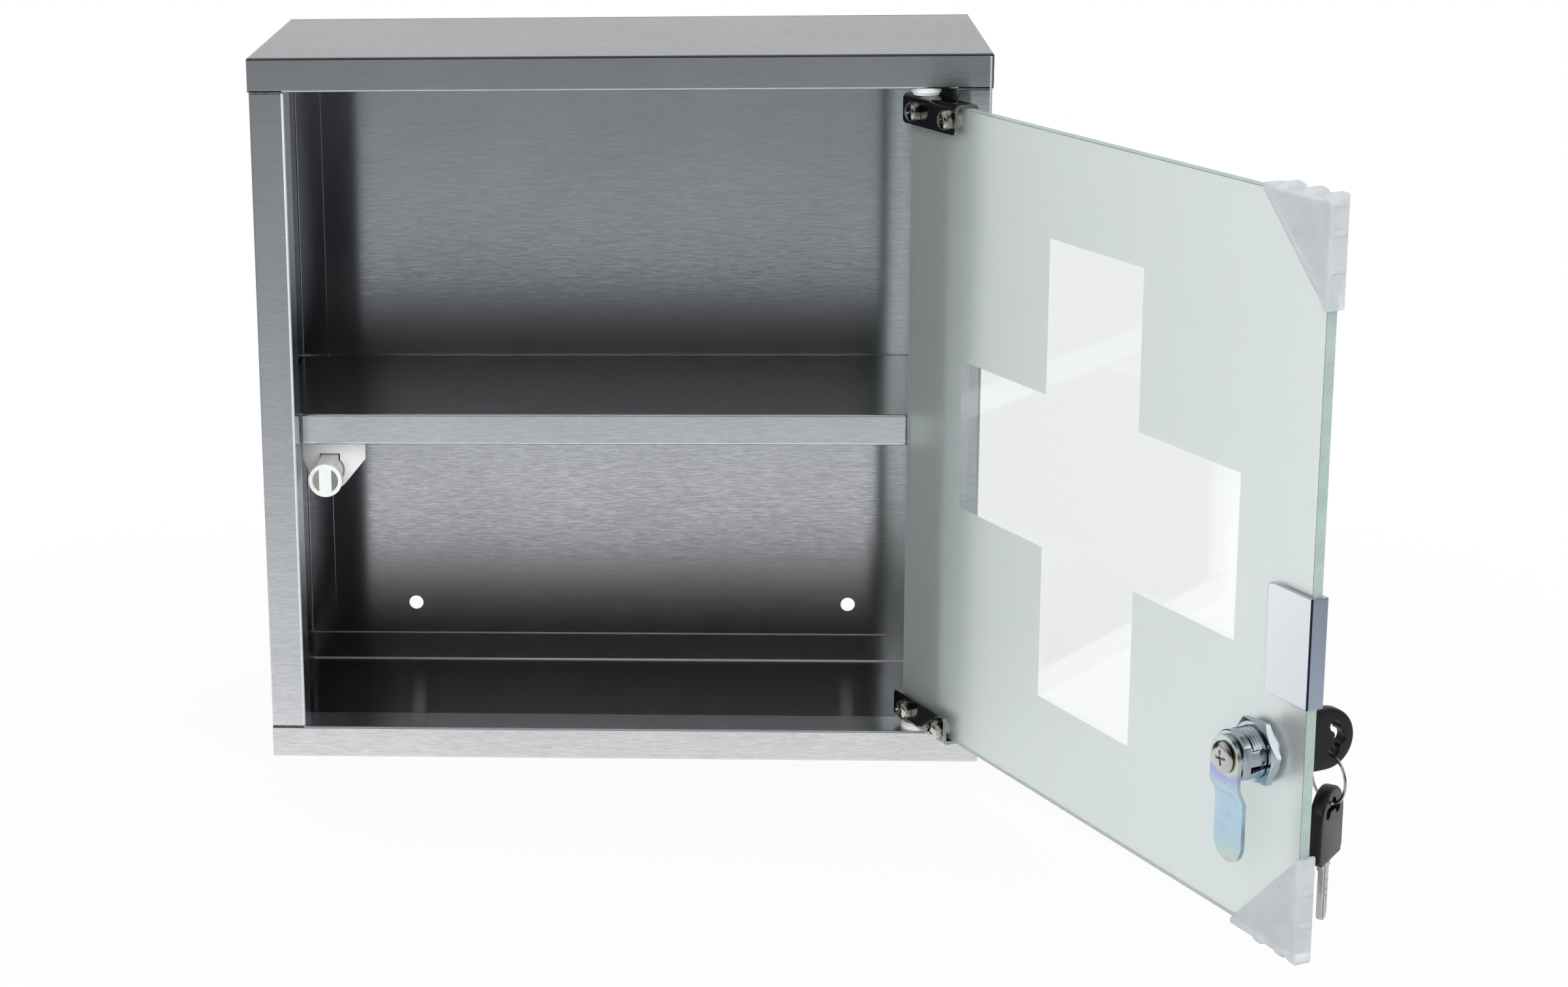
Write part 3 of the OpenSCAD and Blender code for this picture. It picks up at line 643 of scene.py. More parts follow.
@dataclass(frozen=True)
class ClearGlass(Finish):
    """Float glass with a faint green body."""

    name: str
    shade: Triple = (251, 254, 253)
    ior: float = 1.5
    smear: float = 0.02
    smear_scale: float = 40.0

    def material(self) -> bpy.types.Material:
        """Makes the glass.

        Returns:
            The material.
        """
        material, wires, shader = self.start()
        point = wires.object_point()
        smears = EFFECTS.place(wires, EFFECTS.cloud, vector=point, scale=self.smear_scale)["Cloud"]
        rough = wires.ramp(smears, 0.0, 1.0, 0.0, self.smear)
        tint = colour(self.shade)
        wires.feed(shader, base_color=tint, roughness=rough, ior=self.ior, transmission_weight=1.0)
        return material


@dataclass(frozen=True)
class EtchedFilm(Finish):
    """The etched skin of a frosted pane: milky, finely speckled and slowly mottled."""

    name: str
    shade: Triple = (248, 255, 252)
    mottle_shade: Triple = (249, 254, 255)
    speckle_shade: Triple = (250, 252, 252)
    clearness: float = 0.88
    roughness: float = 0.5
    rough_swing: float = 0.08
    ior: float = 1.28
    mottle_scale: float = 55.0
    speckle_scale: float = 2400.0
    speckle_share: float = 0.3
    speckle_relief: float = 0.15

    def material(self) -> bpy.types.Material:
        """Makes the etched skin's material.

        Returns:
            The material.
        """
        material, wires, shader = self.start()
        point = wires.object_point()
        mottle = wires.noise(point, self.mottle_scale, 3.0, 0.6)
        speckle = wires.noise(point, self.speckle_scale, 2.0, 0.7)
        milky = wires.blend(mottle, colour(self.shade), colour(self.mottle_shade))
        share = wires.ramp(speckle, 0.3, 0.7, 0.0, self.speckle_share)
        milky = wires.blend(share, milky, colour(self.speckle_shade))
        smooth, coarse = self.roughness - self.rough_swing, self.roughness + self.rough_swing
        wires.feed(
            shader,
            base_color=milky,
            roughness=wires.ramp(speckle, 0.2, 0.8, smooth, coarse),
            ior=self.ior,
            transmission_weight=self.clearness,
            normal=wires.bump(self.speckle_relief, speckle),
        )
        return material


@dataclass(frozen=True)
class Moulded(Finish):
    """A moulded plastic or rubber, opaque or milky."""

    name: str
    shade: Triple
    roughness: float = 0.45
    transmission: float = 0.0
    scatter: float = 0.0
    grain: float = 0.1
    mottle: float = 0.04
    ior: float = 1.45
    scatter_depth: float = 0.002
    rough_swing: float = 0.05
    cloud_scale: float = 120.0
    skin_scale: float = 3000.0

    def material(self) -> bpy.types.Material:
        """Makes the moulding's material.

        Returns:
            The material.
        """
        material, wires, shader = self.start()
        point = wires.object_point()
        cloud = EFFECTS.place(wires, EFFECTS.cloud, vector=point, scale=self.cloud_scale)["Cloud"]
        skin = wires.noise(point, self.skin_scale)
        tone = wires.ramp(cloud, 0.0, 1.0, 1.0 - self.mottle, 1.0 + self.mottle)
        smooth, coarse = self.roughness - self.rough_swing, self.roughness + self.rough_swing
        wires.feed(
            shader,
            base_color=wires.vector("SCALE", in0=colour(self.shade)[:3], scale=tone),
            roughness=wires.ramp(skin, 0.2, 0.8, smooth, coarse),
            ior=self.ior,
            transmission_weight=self.transmission,
            subsurface_weight=self.scatter,
            subsurface_scale=self.scatter_depth,
            normal=wires.bump(self.grain, skin),
        )
        return material


SHEET = BrushedSteel("brushed sheet", Brushing.ALONG_CASE)
SIDE_SHEET = BrushedSteel("brushed side sheet", Brushing.ALONG_DEPTH)
PANE_GLASS = ClearGlass("float glass")
ETCHED_SKIN = EtchedFilm("etched skin")
GROUND_EDGE = Moulded("ground glass edge", (200, 220, 213), 0.3, 0.35, 0.0, 0.08, 0.05)
# The clamp's bright edge colour, laid on through the edge-wear mask, stands partly for wear and partly for
# painted highlights along its edges
CLAMP_CHROME = Plating("clamp chrome", (158, 156, 158), (236, 237, 242), 0.07)
SCREW_NICKEL = Plating("screw nickel", (206, 202, 194), (240, 238, 232), 0.1)
# Painted dark reflection on the pull clip's end face, and a painted shade line along its back edge
CLIP_PAINTED_SHADE = (
    PaintedStrip((-258.5, -4.7, -43.0), (-257.6, 2.4, -2.0), (196, 206, 221)),
    PaintedStrip((-258.5, 2.0, -43.0), (-257.25, 2.8, -2.0), (52, 60, 74)),
)
CLIP_CHROME = Plating("clip chrome", (236, 240, 243), (244, 246, 248), 0.06, 0.03, CLIP_PAINTED_SHADE)
LOCK_CHROME = Plating("lock chrome", (212, 220, 229), (238, 242, 246), 0.14)
HEAD_NICKEL = Plating("screw head nickel", (214, 211, 208), (244, 242, 240), 0.12)
DARK_SPRING = Plating("dark spring steel", (90, 90, 92), (150, 150, 152), 0.3, 0.1)
POLE_STEEL = Moulded("sintered pole", (142, 139, 132), 0.45, 0.0, 0.0, 0.8, 0.2)
RING_STEEL = Plating("ring steel", (196, 196, 198), (230, 230, 232), 0.14)
KEY_METAL = Plating("key nickel", (200, 198, 194), (232, 232, 230), 0.22, 0.1)
PLUG_ZINC = Plating("plug zinc", (180, 182, 186), (220, 222, 224), 0.3)
CAM_ZINC = ZincPassivate("passivated zinc")
NYLON = Moulded("white nylon", (246, 247, 247), 0.4, 0.0, 0.2)
SILICONE = Moulded("clear silicone", (239, 245, 249), 0.36, 0.45, 0.3, 0.05)
PAD_RUBBER = Moulded("pad rubber", (150, 156, 156), 0.6)
BLACK_RUBBER = Moulded("black rubber", (24, 24, 25), 0.6)
KEY_PLASTIC = Moulded("key plastic", (20, 21, 24), 0.34, 0.0, 0.0, 0.15)


# Shapes


RECORD = frame["record"]
BODIES = {node: body for body, nodes in RECORD["behaviour"]["bodies"].items() for node in nodes}


class Shape:
    """A mesh that is worked up in a sub-assembly's own millimetres and then placed in the model."""

    flat = math.radians(0.6)
    sharp = math.radians(32.0)
    overrun = 1.0
    near = 0.001

    def __init__(self, place: Place) -> None:
        """Starts an empty mesh.

        Args:
            place: Where the mesh's millimetres lie in the model.
        """
        self.place = place
        self.mesh = bmesh.new()

    @classmethod
    def of_node(cls, node: str, place: Place) -> "Shape":
        """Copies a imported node's mesh, merged and with its flat faces whole.

        Args:
            node: The node's name.
            place: The place whose millimetres the copy is worked in.

        Returns:
            The new shape.
        """
        shape = cls(place)
        shape.mesh.from_mesh(frame["nodes"][node].data)
        shape.transform(place.matrix().inverted())
        shape.weld()
        bmesh.ops.dissolve_limit(
            shape.mesh, angle_limit=cls.flat, verts=shape.mesh.verts, edges=shape.mesh.edges
        )
        return shape
    @classmethod
    def round(cls, place: Place, profile: Sequence[tuple[float, float]], **how: Any) -> "Shape":
        """Makes a shape by turning a profile round the Z axis.

        Args:
            place: Where its millimetres lie in the model.
            profile: Pairs of radius and height.
            how: Further arguments of turned.

        Returns:
            The new shape.
        """
        shape = cls(place)
        shape.turned(profile, **how)
        return shape

    @classmethod
    def prism(cls, place: Place, points: Iterable[Sequence[float]], way: Sequence[float]) -> "Shape":
        """Makes a closed solid by raising a flat outline.

        Args:
            place: Where its millimetres lie in the model.
            points: The outline's points.
            way: The direction and length of the solid.

        Returns:
            The new shape.
        """
        shape = cls(place)
        shape.raised(points, way)
        shape.face_out()
        return shape
    def everything(self) -> list[Any]:
        """Gives all vertices, edges and faces."""
        return [*self.mesh.verts, *self.mesh.edges, *self.mesh.faces]

    def weld(self, gap: float = 0.002) -> None:
        """Merges vertices that lie within a gap of each other."""
        bmesh.ops.remove_doubles(self.mesh, verts=self.mesh.verts, dist=gap)

    def transform(self, matrix: Matrix) -> None:
        """Moves the whole mesh by a matrix."""
        bmesh.ops.transform(self.mesh, matrix=matrix, verts=self.mesh.verts)

    def face_out(self) -> None:
        """Turns every face outwards."""
        bmesh.ops.recalc_face_normals(self.mesh, faces=self.mesh.faces)

    def line(self, points: Iterable[Sequence[float]], closed: bool = False) -> list[Any]:
        """Draws a line through points.

        Args:
            points: The points, in millimetres.
            closed: Whether the last point joins the first.

        Returns:
            The line's vertices and edges.
        """
        corners = [self.mesh.verts.new(point) for point in points]
        ends = corners[1:] + (corners[:1] if closed else [])
        return [*corners, *(self.mesh.edges.new(pair) for pair in zip(corners, ends))]

    def spin(self, made: list[Any], steps: int, turns: float = 1.0, rise: float = 0.0, **how: Any) -> None:
        """Spins a line or a face round the Z axis.

        Args:
            made: What is spun.
            steps: Number of steps in the whole spin.
            turns: Number of turns.
            rise: Height of the whole spin.
            how: Further arguments of the operator.
        """
        bmesh.ops.spin(
            self.mesh,
            geom=made,
            cent=(0.0, 0.0, 0.0),
            axis=(0.0, 0.0, 1.0),
            dvec=(0.0, 0.0, rise / steps),
            angle=math.tau * turns,
            steps=steps,
            **how,
        )

    def turned(self, profile: Sequence[tuple[float, float]], sides: int = 64, closed: bool = False) -> None:
        """Turns a profile round the Z axis.

        Args:
            profile: Pairs of radius and height.
            sides: Number of steps in the full turn.
            closed: Whether the profile closes on itself.
        """
        made = self.line([(radius, 0.0, height) for radius, height in profile], closed)
        self.spin(made, sides, use_merge=True)
        self.weld()
        self.face_out()

    def raised(self, points: Iterable[Sequence[float]], way: Sequence[float]) -> list[Any]:
        """Raises a solid from a flat outline.

        Args:
            points: The outline's points.
            way: The direction and length of the solid.

        Returns:
            The vertices of the raised end.
        """
        base = self.mesh.faces.new([self.mesh.verts.new(point) for point in points])
        made = bmesh.ops.extrude_face_region(self.mesh, geom=[base], use_keep_orig=True)["geom"]
        top = [item for item in made if isinstance(item, bmesh.types.BMVert)]
        bmesh.ops.translate(self.mesh, vec=way, verts=top)
        return top

    def rims(self, height: float) -> list[Any]:
        """Finds the open edges that lie at a height.

        Args:
            height: The height in millimetres.

        Returns:
            The edges.
        """
        return [
            edge
            for edge in self.mesh.edges
            if edge.is_boundary and all(abs(vert.co.z - height) < self.near for vert in edge.verts)
        ]

    def halve(self, point: Sequence[float], normal: Sequence[float], close: bool = True) -> None:
        """Cuts away what lies beyond a plane.

        Args:
            point: A point on the plane.
            normal: The plane's normal, towards what is cut away.
            close: Whether the cut is closed with a face.
        """
        made = bmesh.ops.bisect_plane(
            self.mesh, geom=self.everything(), plane_co=point, plane_no=normal, clear_outer=True
        )
        if close:
            edges = [item for item in made["geom_cut"] if isinstance(item, bmesh.types.BMEdge)]
            bmesh.ops.holes_fill(self.mesh, edges=edges, sides=0)
            self.face_out()

    def ring(self, radius: float, height: float, sides: int) -> None:
        """Draws an open circle round the Z axis."""
        made = bmesh.ops.create_circle(self.mesh, cap_ends=False, segments=sides, radius=radius)
        bmesh.ops.translate(self.mesh, vec=(0.0, 0.0, height), verts=made["verts"])

    def threaded(
        self, crest: float, root: float, pitch: float, low: float, high: float, sides: int
    ) -> None:
        """Winds a screw thread round the Z axis and trims its ends square, leaving them open.

        Args:
            crest: Radius of the thread's crests.
            root: Radius of its roots.
            pitch: Height of one turn.
            low: Height of the lower end.
            high: Height of the upper end.
            sides: Number of steps in one turn.
        """
        flank = ((root, 0.0), (root, 0.2), (crest, 0.5), (crest, 0.68))
        turns = math.ceil((high - low) / pitch) + 3
        points = [
            (radius, 0.0, low + (turn - 1.5 + share) * pitch)
            for turn in range(turns)
            for radius, share in flank
        ]
        self.spin(self.line(points), sides, rise=pitch)
        self.weld()
        self.halve((0.0, 0.0, low), (0.0, 0.0, -1.0), False)
        self.halve((0.0, 0.0, high), (0.0, 0.0, 1.0), False)

    def threaded_tube(
        self, crest: float, root: float, bore: float, pitch: float, low: float, high: float
    ) -> None:
        """Winds a thread and closes it on a plain bore.

        Args:
            crest: Radius of the thread's crests.
            root: Radius of its roots.
            bore: Radius of the bore.
            pitch: Height of one turn.
            low: Height of the lower end.
            high: Height of the upper end.
        """
        sides = 56
        self.threaded(crest, root, pitch, low, high, sides)
        for height in (low, high):
            self.ring(bore, height, sides)
            bmesh.ops.bridge_loops(self.mesh, edges=self.rims(height))
        inner = [edge for edge in self.mesh.edges if edge.is_boundary]
        bmesh.ops.bridge_loops(self.mesh, edges=inner)
        self.face_out()

    def absorb(self, other: "Shape") -> None:
        """Takes in another shape of the same millimetres.

        Args:
            other: The shape, which is used up.
        """
        carrier = bpy.data.meshes.new("carrier")
        other.mesh.to_mesh(carrier)
        other.mesh.free()
        self.mesh.from_mesh(carrier)
        bpy.data.meshes.remove(carrier)

    def plain_object(self) -> bpy.types.Object:
        """Makes a bare object of the mesh, in millimetres, and frees the mesh.

        Returns:
            The object.
        """
        mesh = bpy.data.meshes.new("blank")
        self.mesh.to_mesh(mesh)
        self.mesh.free()
        blank = bpy.data.objects.new("blank", mesh)
        bpy.context.scene.collection.objects.link(blank)
        return blank

    def carve(self, cutter: "Shape") -> None:
        """Takes a cutter's room out of the mesh.

        Args:
            cutter: A closed shape of the same millimetres, which is used up.
        """
        blank, tool = self.plain_object(), cutter.plain_object()
        cut = blank.modifiers.new("cut", "BOOLEAN")
        cut.object = tool
        cut.solver = "EXACT"
        depsgraph = bpy.context.evaluated_depsgraph_get()
        carved = bpy.data.meshes.new_from_object(blank.evaluated_get(depsgraph))
        self.mesh = bmesh.new()
        self.mesh.from_mesh(carved)
        for used in (blank, tool):
            mesh = used.data
            bpy.data.objects.remove(used)
            bpy.data.meshes.remove(mesh)
        bpy.data.meshes.remove(carved)

    def round_over(self, edges: list[Any], width: float, segments: int) -> None:
        """Rounds edges.

        Args:
            edges: The edges to round.
            width: How far the rounding reaches.
            segments: Number of strips in it.
        """
        bmesh.ops.bevel(
            self.mesh,
            geom=edges,
            offset=width,
            affect="EDGES",
            segments=segments,
            profile=0.5,
            material=-1,
            clamp_overlap=False,
        )

    def creases(self) -> list[Any]:
        """Gives the edges at which the surface turns sharply."""
        return [edge for edge in self.mesh.edges if edge.is_manifold and edge.calc_face_angle() > self.sharp]

    def build(
        self,
        name: str,
        finish: Finish,
        *nodes: str,
        ease: float = 0.0,
        segments: int = 2,
        limit: float = 32.0,
    ) -> None:
        """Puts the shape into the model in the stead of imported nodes.

        Args:
            name: The piece's name.
            finish: What it is dressed in.
            nodes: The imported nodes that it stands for; it rides with the first.
            ease: Width in millimetres to which its sharp edges are eased.
            segments: Number of strips in each eased edge.
            limit: Turn in degrees from which an edge counts as sharp.
        """
        mesh = bpy.data.meshes.new(name)
        self.mesh.to_mesh(mesh)
        self.mesh.free()
        mesh.transform(self.place.matrix())
        mesh.shade_smooth()
        mesh.set_sharp_from_angle(angle=math.radians(limit))
        piece = bpy.data.objects.new(name, mesh)
        bpy.context.scene.collection.objects.link(piece)
        if ease:
            bevel = piece.modifiers.new("eased edges", "BEVEL")
            bevel.width = ease * MM
            bevel.segments = segments
            bevel.limit_method = "ANGLE"
            bevel.angle_limit = math.radians(limit)
            bevel.harden_normals = True
        finish.dress(piece)
        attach(piece, BODIES[nodes[0]])
        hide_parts(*nodes)
        LOG.info("built %s in %s, %d faces", name, finish.name, len(mesh.polygons))


def eased_copy(node: str, place: Place, name: str, finish: Finish, ease: float, segments: int = 2) -> None:
    """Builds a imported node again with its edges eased.

    Args:
        node: The node's name.
        place: The place that it is worked in.
        name: The new piece's name.
        finish: What it is dressed in.
        ease: Width of the eased edges in millimetres.
        segments: Number of strips in each eased edge.
    """
    Shape.of_node(node, place).build(name, finish, node, ease=ease, segments=segments)


def cross_recess(reach: float, half: float, top: float, depth: float) -> Shape:
    """Makes the cutter for a screw's cross recess, round the Z axis.

    Args:
        reach: Length of each arm from the axis.
        half: Half the width of an arm.
        top: Height of the face that it is cut into.
        depth: Depth of the recess.

    Returns:
        The cutter.
    """
    cutter = Shape(CASE_PLACE)
    quarter = [(reach, -half), (reach, half), (half, half)]
    points = []
    for turn in range(4):
        way = Matrix.Rotation(turn * math.pi / 2, 2)
        points += [(*(way @ Vector(corner)), top + Shape.overrun) for corner in quarter]
    floor = cutter.raised(points, (0.0, 0.0, -depth - Shape.overrun))
    taper = 0.45
    bmesh.ops.scale(cutter.mesh, vec=(taper, taper, 1.0), verts=floor)
    cutter.face_out()
    return cutter


# The sub-assemblies


@dataclass(frozen=True)
class HingeSet:
    """The two clamp hinges, with their bushings, pins, pads and screws, in the door's millimetres."""

    clamp_ease: float = 0.22
    pin_ease: float = 0.4
    bushing_ease: float = 0.25
    screw_reach: tuple[float, float] = (-1.4, -26.2)
    screw_heights: tuple[float, float] = (126.4, -127.4)
    screw_turns: tuple[float, ...] = (20.0, 62.0, 8.0, 51.0)
    seat: float = 2.15
    thread_length: float = 5.9
    screw_length: float = 7.2
    crest: float = 4.0
    root: float = 3.5
    pitch: float = 0.8
    sides: int = 40
    neck_play: float = 0.15
    neck_gap: float = 0.05
    dome_in: tuple[float, ...] = (0.0, 0.1, 0.65)
    dome_down: tuple[float, ...] = (0.85, 0.4, 0.08)
    dome_flat: float = 1.6
    recess_arm: tuple[float, float] = (3.3, 0.75)
    recess_depth: float = 1.7

    def build(self) -> None:
        """Builds and dresses both hinges."""
        for end in ("upper", "lower"):
            eased_copy(end + "_hinge_clamp", DOOR_PLACE, end + "_clamp_strap", CLAMP_CHROME, self.clamp_ease)
            eased_copy(end + "_hinge_pin", DOOR_PLACE, end + "_pivot_pin", CLAMP_CHROME, self.pin_ease)
            eased_copy(end + "_bushing", CASE_PLACE, end + "_nylon_bushing", NYLON, self.bushing_ease)
            PAD_RUBBER.dress(frame["nodes"][end + "_clamp_pad"])
        PAD_RUBBER.dress(frame["nodes"]["pressure_pads"])
        self.screws()

    def screws(self) -> None:
        """Builds the four clamping screws as one piece."""
        whole = Shape(DOOR_PLACE)
        places = [(reach, height) for height in self.screw_heights for reach in self.screw_reach]
        for (reach, height), turn in zip(places, self.screw_turns):
            screw = self.screw()
            screw.transform(shift(reach, self.seat, height) @ spin_about(-90.0, "X") @ spin_about(turn, "Z"))
            whole.absorb(screw)
        whole.build("clamp_screw_set", SCREW_NICKEL, "clamp_screws")

    def screw(self) -> Shape:
        """Makes one headless screw with a domed end and a cross recess.

        Returns:
            The screw, standing on the Z axis.
        """
        screw = Shape(DOOR_PLACE)
        screw.threaded(self.crest, self.root, self.pitch, 0.0, self.thread_length, self.sides)
        dome_start = self.thread_length + self.neck_gap
        neck, top = self.root + self.neck_play, self.screw_length
        radii = [*(neck - step for step in self.dome_in), self.dome_flat, 0.0]
        heights = [dome_start, *(top - step for step in self.dome_down), top]
        made = screw.line([(radius, 0.0, height) for radius, height in zip(radii, heights)])
        screw.spin(made, self.sides)
        screw.weld()
        open_rims = screw.rims(self.thread_length) + screw.rims(dome_start)
        bmesh.ops.bridge_loops(screw.mesh, edges=open_rims)
        bmesh.ops.holes_fill(screw.mesh, edges=screw.rims(0.0), sides=0)
        screw.face_out()
        screw.carve(cross_recess(*self.recess_arm, top, self.recess_depth))
        return screw


@dataclass(frozen=True)
class GlassDoor:
    """The frosted pane, in the door's millimetres: clear glass, its etched skin and its ground edges."""

    ends: tuple[float, float] = (-256.25, 8.75)
    faces: tuple[float, float] = (-2.85, 1.15)
    heights: tuple[float, float] = (-132.0, 131.0)
    cross_centre: tuple[float, float] = (-123.9, -0.4)
    cross_half: float = 91.0
    arm_half: float = 30.4
    band: float = 0.12
    skin: float = 0.08
    skin_gap: float = 0.02
    skin_margin: float = 0.15

    def build(self) -> None:
        """Builds and dresses the pane."""
        self.pane()
        self.edges()
        self.etched_skin()

    def pane(self) -> None:
        """Builds the clear glass, a little inside the ground edges."""
        shape = Shape.of_node("glass_door", DOOR_PLACE)
        for axis, (low, high) in ((0, self.ends), (2, self.heights)):
            for vert in shape.mesh.verts:
                vert.co[axis] = min(max(vert.co[axis], low + self.band), high - self.band)
        shape.build("glass_pane", PANE_GLASS, "glass_door", ease=0.3, segments=1)

    def edges(self) -> None:
        """Builds the ground edges as a thin band round the pane."""
        shape = Shape(DOOR_PLACE)
        bmesh.ops.create_cube(shape.mesh, size=1.0)
        low = Vector((self.ends[0], self.faces[0], self.heights[0]))
        high = Vector((self.ends[1], self.faces[1], self.heights[1]))
        bmesh.ops.scale(shape.mesh, vec=high - low, verts=shape.mesh.verts)
        bmesh.ops.translate(shape.mesh, vec=(high + low) / 2, verts=shape.mesh.verts)
        broad = [face for face in shape.mesh.faces if abs(face.normal.y) > 0.5]
        bmesh.ops.delete(shape.mesh, geom=broad, context="FACES_ONLY")
        bmesh.ops.solidify(shape.mesh, geom=shape.mesh.faces[:], thickness=self.band / 2)
        shape.face_out()
        shape.build("ground_edges", GROUND_EDGE, "glass_door", ease=0.06, segments=1)

    def etched_skin(self) -> None:
        """Builds the etched skin on the inner face, with the cross left clear."""
        shape = Shape(DOOR_PLACE)
        bmesh.ops.create_grid(shape.mesh, x_segments=1, y_segments=1, size=0.5)
        shape.transform(spin_about(90.0, "X"))
        low = (self.ends[0] + self.skin_margin, self.heights[0] + self.skin_margin)
        high = (self.ends[1] - self.skin_margin, self.heights[1] - self.skin_margin)
        size = (high[0] - low[0], 1.0, high[1] - low[1])
        middle = ((high[0] + low[0]) / 2, self.faces[1] + self.skin_gap, (high[1] + low[1]) / 2)
        bmesh.ops.scale(shape.mesh, vec=size, verts=shape.mesh.verts)
        bmesh.ops.translate(shape.mesh, vec=middle, verts=shape.mesh.verts)
        for axis, centre in ((0, self.cross_centre[0]), (2, self.cross_centre[1])):
            normal = [0.0, 0.0, 0.0]
            normal[axis] = 1.0
            for offset in (-self.cross_half, -self.arm_half, self.arm_half, self.cross_half):
                point = [0.0, 0.0, 0.0]
                point[axis] = centre + offset
                bmesh.ops.bisect_plane(shape.mesh, geom=shape.everything(), plane_co=point, plane_no=normal)
        clear = [face for face in shape.mesh.faces if self.in_cross(face.calc_center_median())]
        bmesh.ops.delete(shape.mesh, geom=clear, context="FACES")
        whole = shape.mesh.faces[:]
        made = bmesh.ops.extrude_face_region(shape.mesh, geom=whole, use_keep_orig=True)["geom"]
        raised = [item for item in made if isinstance(item, bmesh.types.BMVert)]
        bmesh.ops.translate(shape.mesh, vec=(0.0, self.skin, 0.0), verts=raised)
        shape.face_out()
        shape.build("etched_skin", ETCHED_SKIN, "glass_door")

    def in_cross(self, point: Vector) -> bool:
        """Says whether a point lies in the clear cross.

        Args:
            point: The point, in the door's millimetres.

        Returns:
            True inside the cross.
        """
        across = abs(point.x - self.cross_centre[0])
        up = abs(point.z - self.cross_centre[1])
        return max(across, up) < self.cross_half and min(across, up) < self.arm_half


@dataclass(frozen=True)
class DoorTrim:
    """The pull clip and the two corner guards."""

    clip_ease: float = 0.3
    guard_ease: float = 0.45
    strips: int = 3

    def build(self) -> None:
        """Builds and dresses the door's trim."""
        for node, name, finish, ease in (
            ("pull_clip", "folded_pull_clip", CLIP_CHROME, self.clip_ease),
            ("top_corner_guard", "top_guard_moulding", SILICONE, self.guard_ease),
            ("bottom_corner_guard", "bottom_guard_moulding", SILICONE, self.guard_ease),
        ):
            eased_copy(node, DOOR_PLACE, name, finish, ease, self.strips)


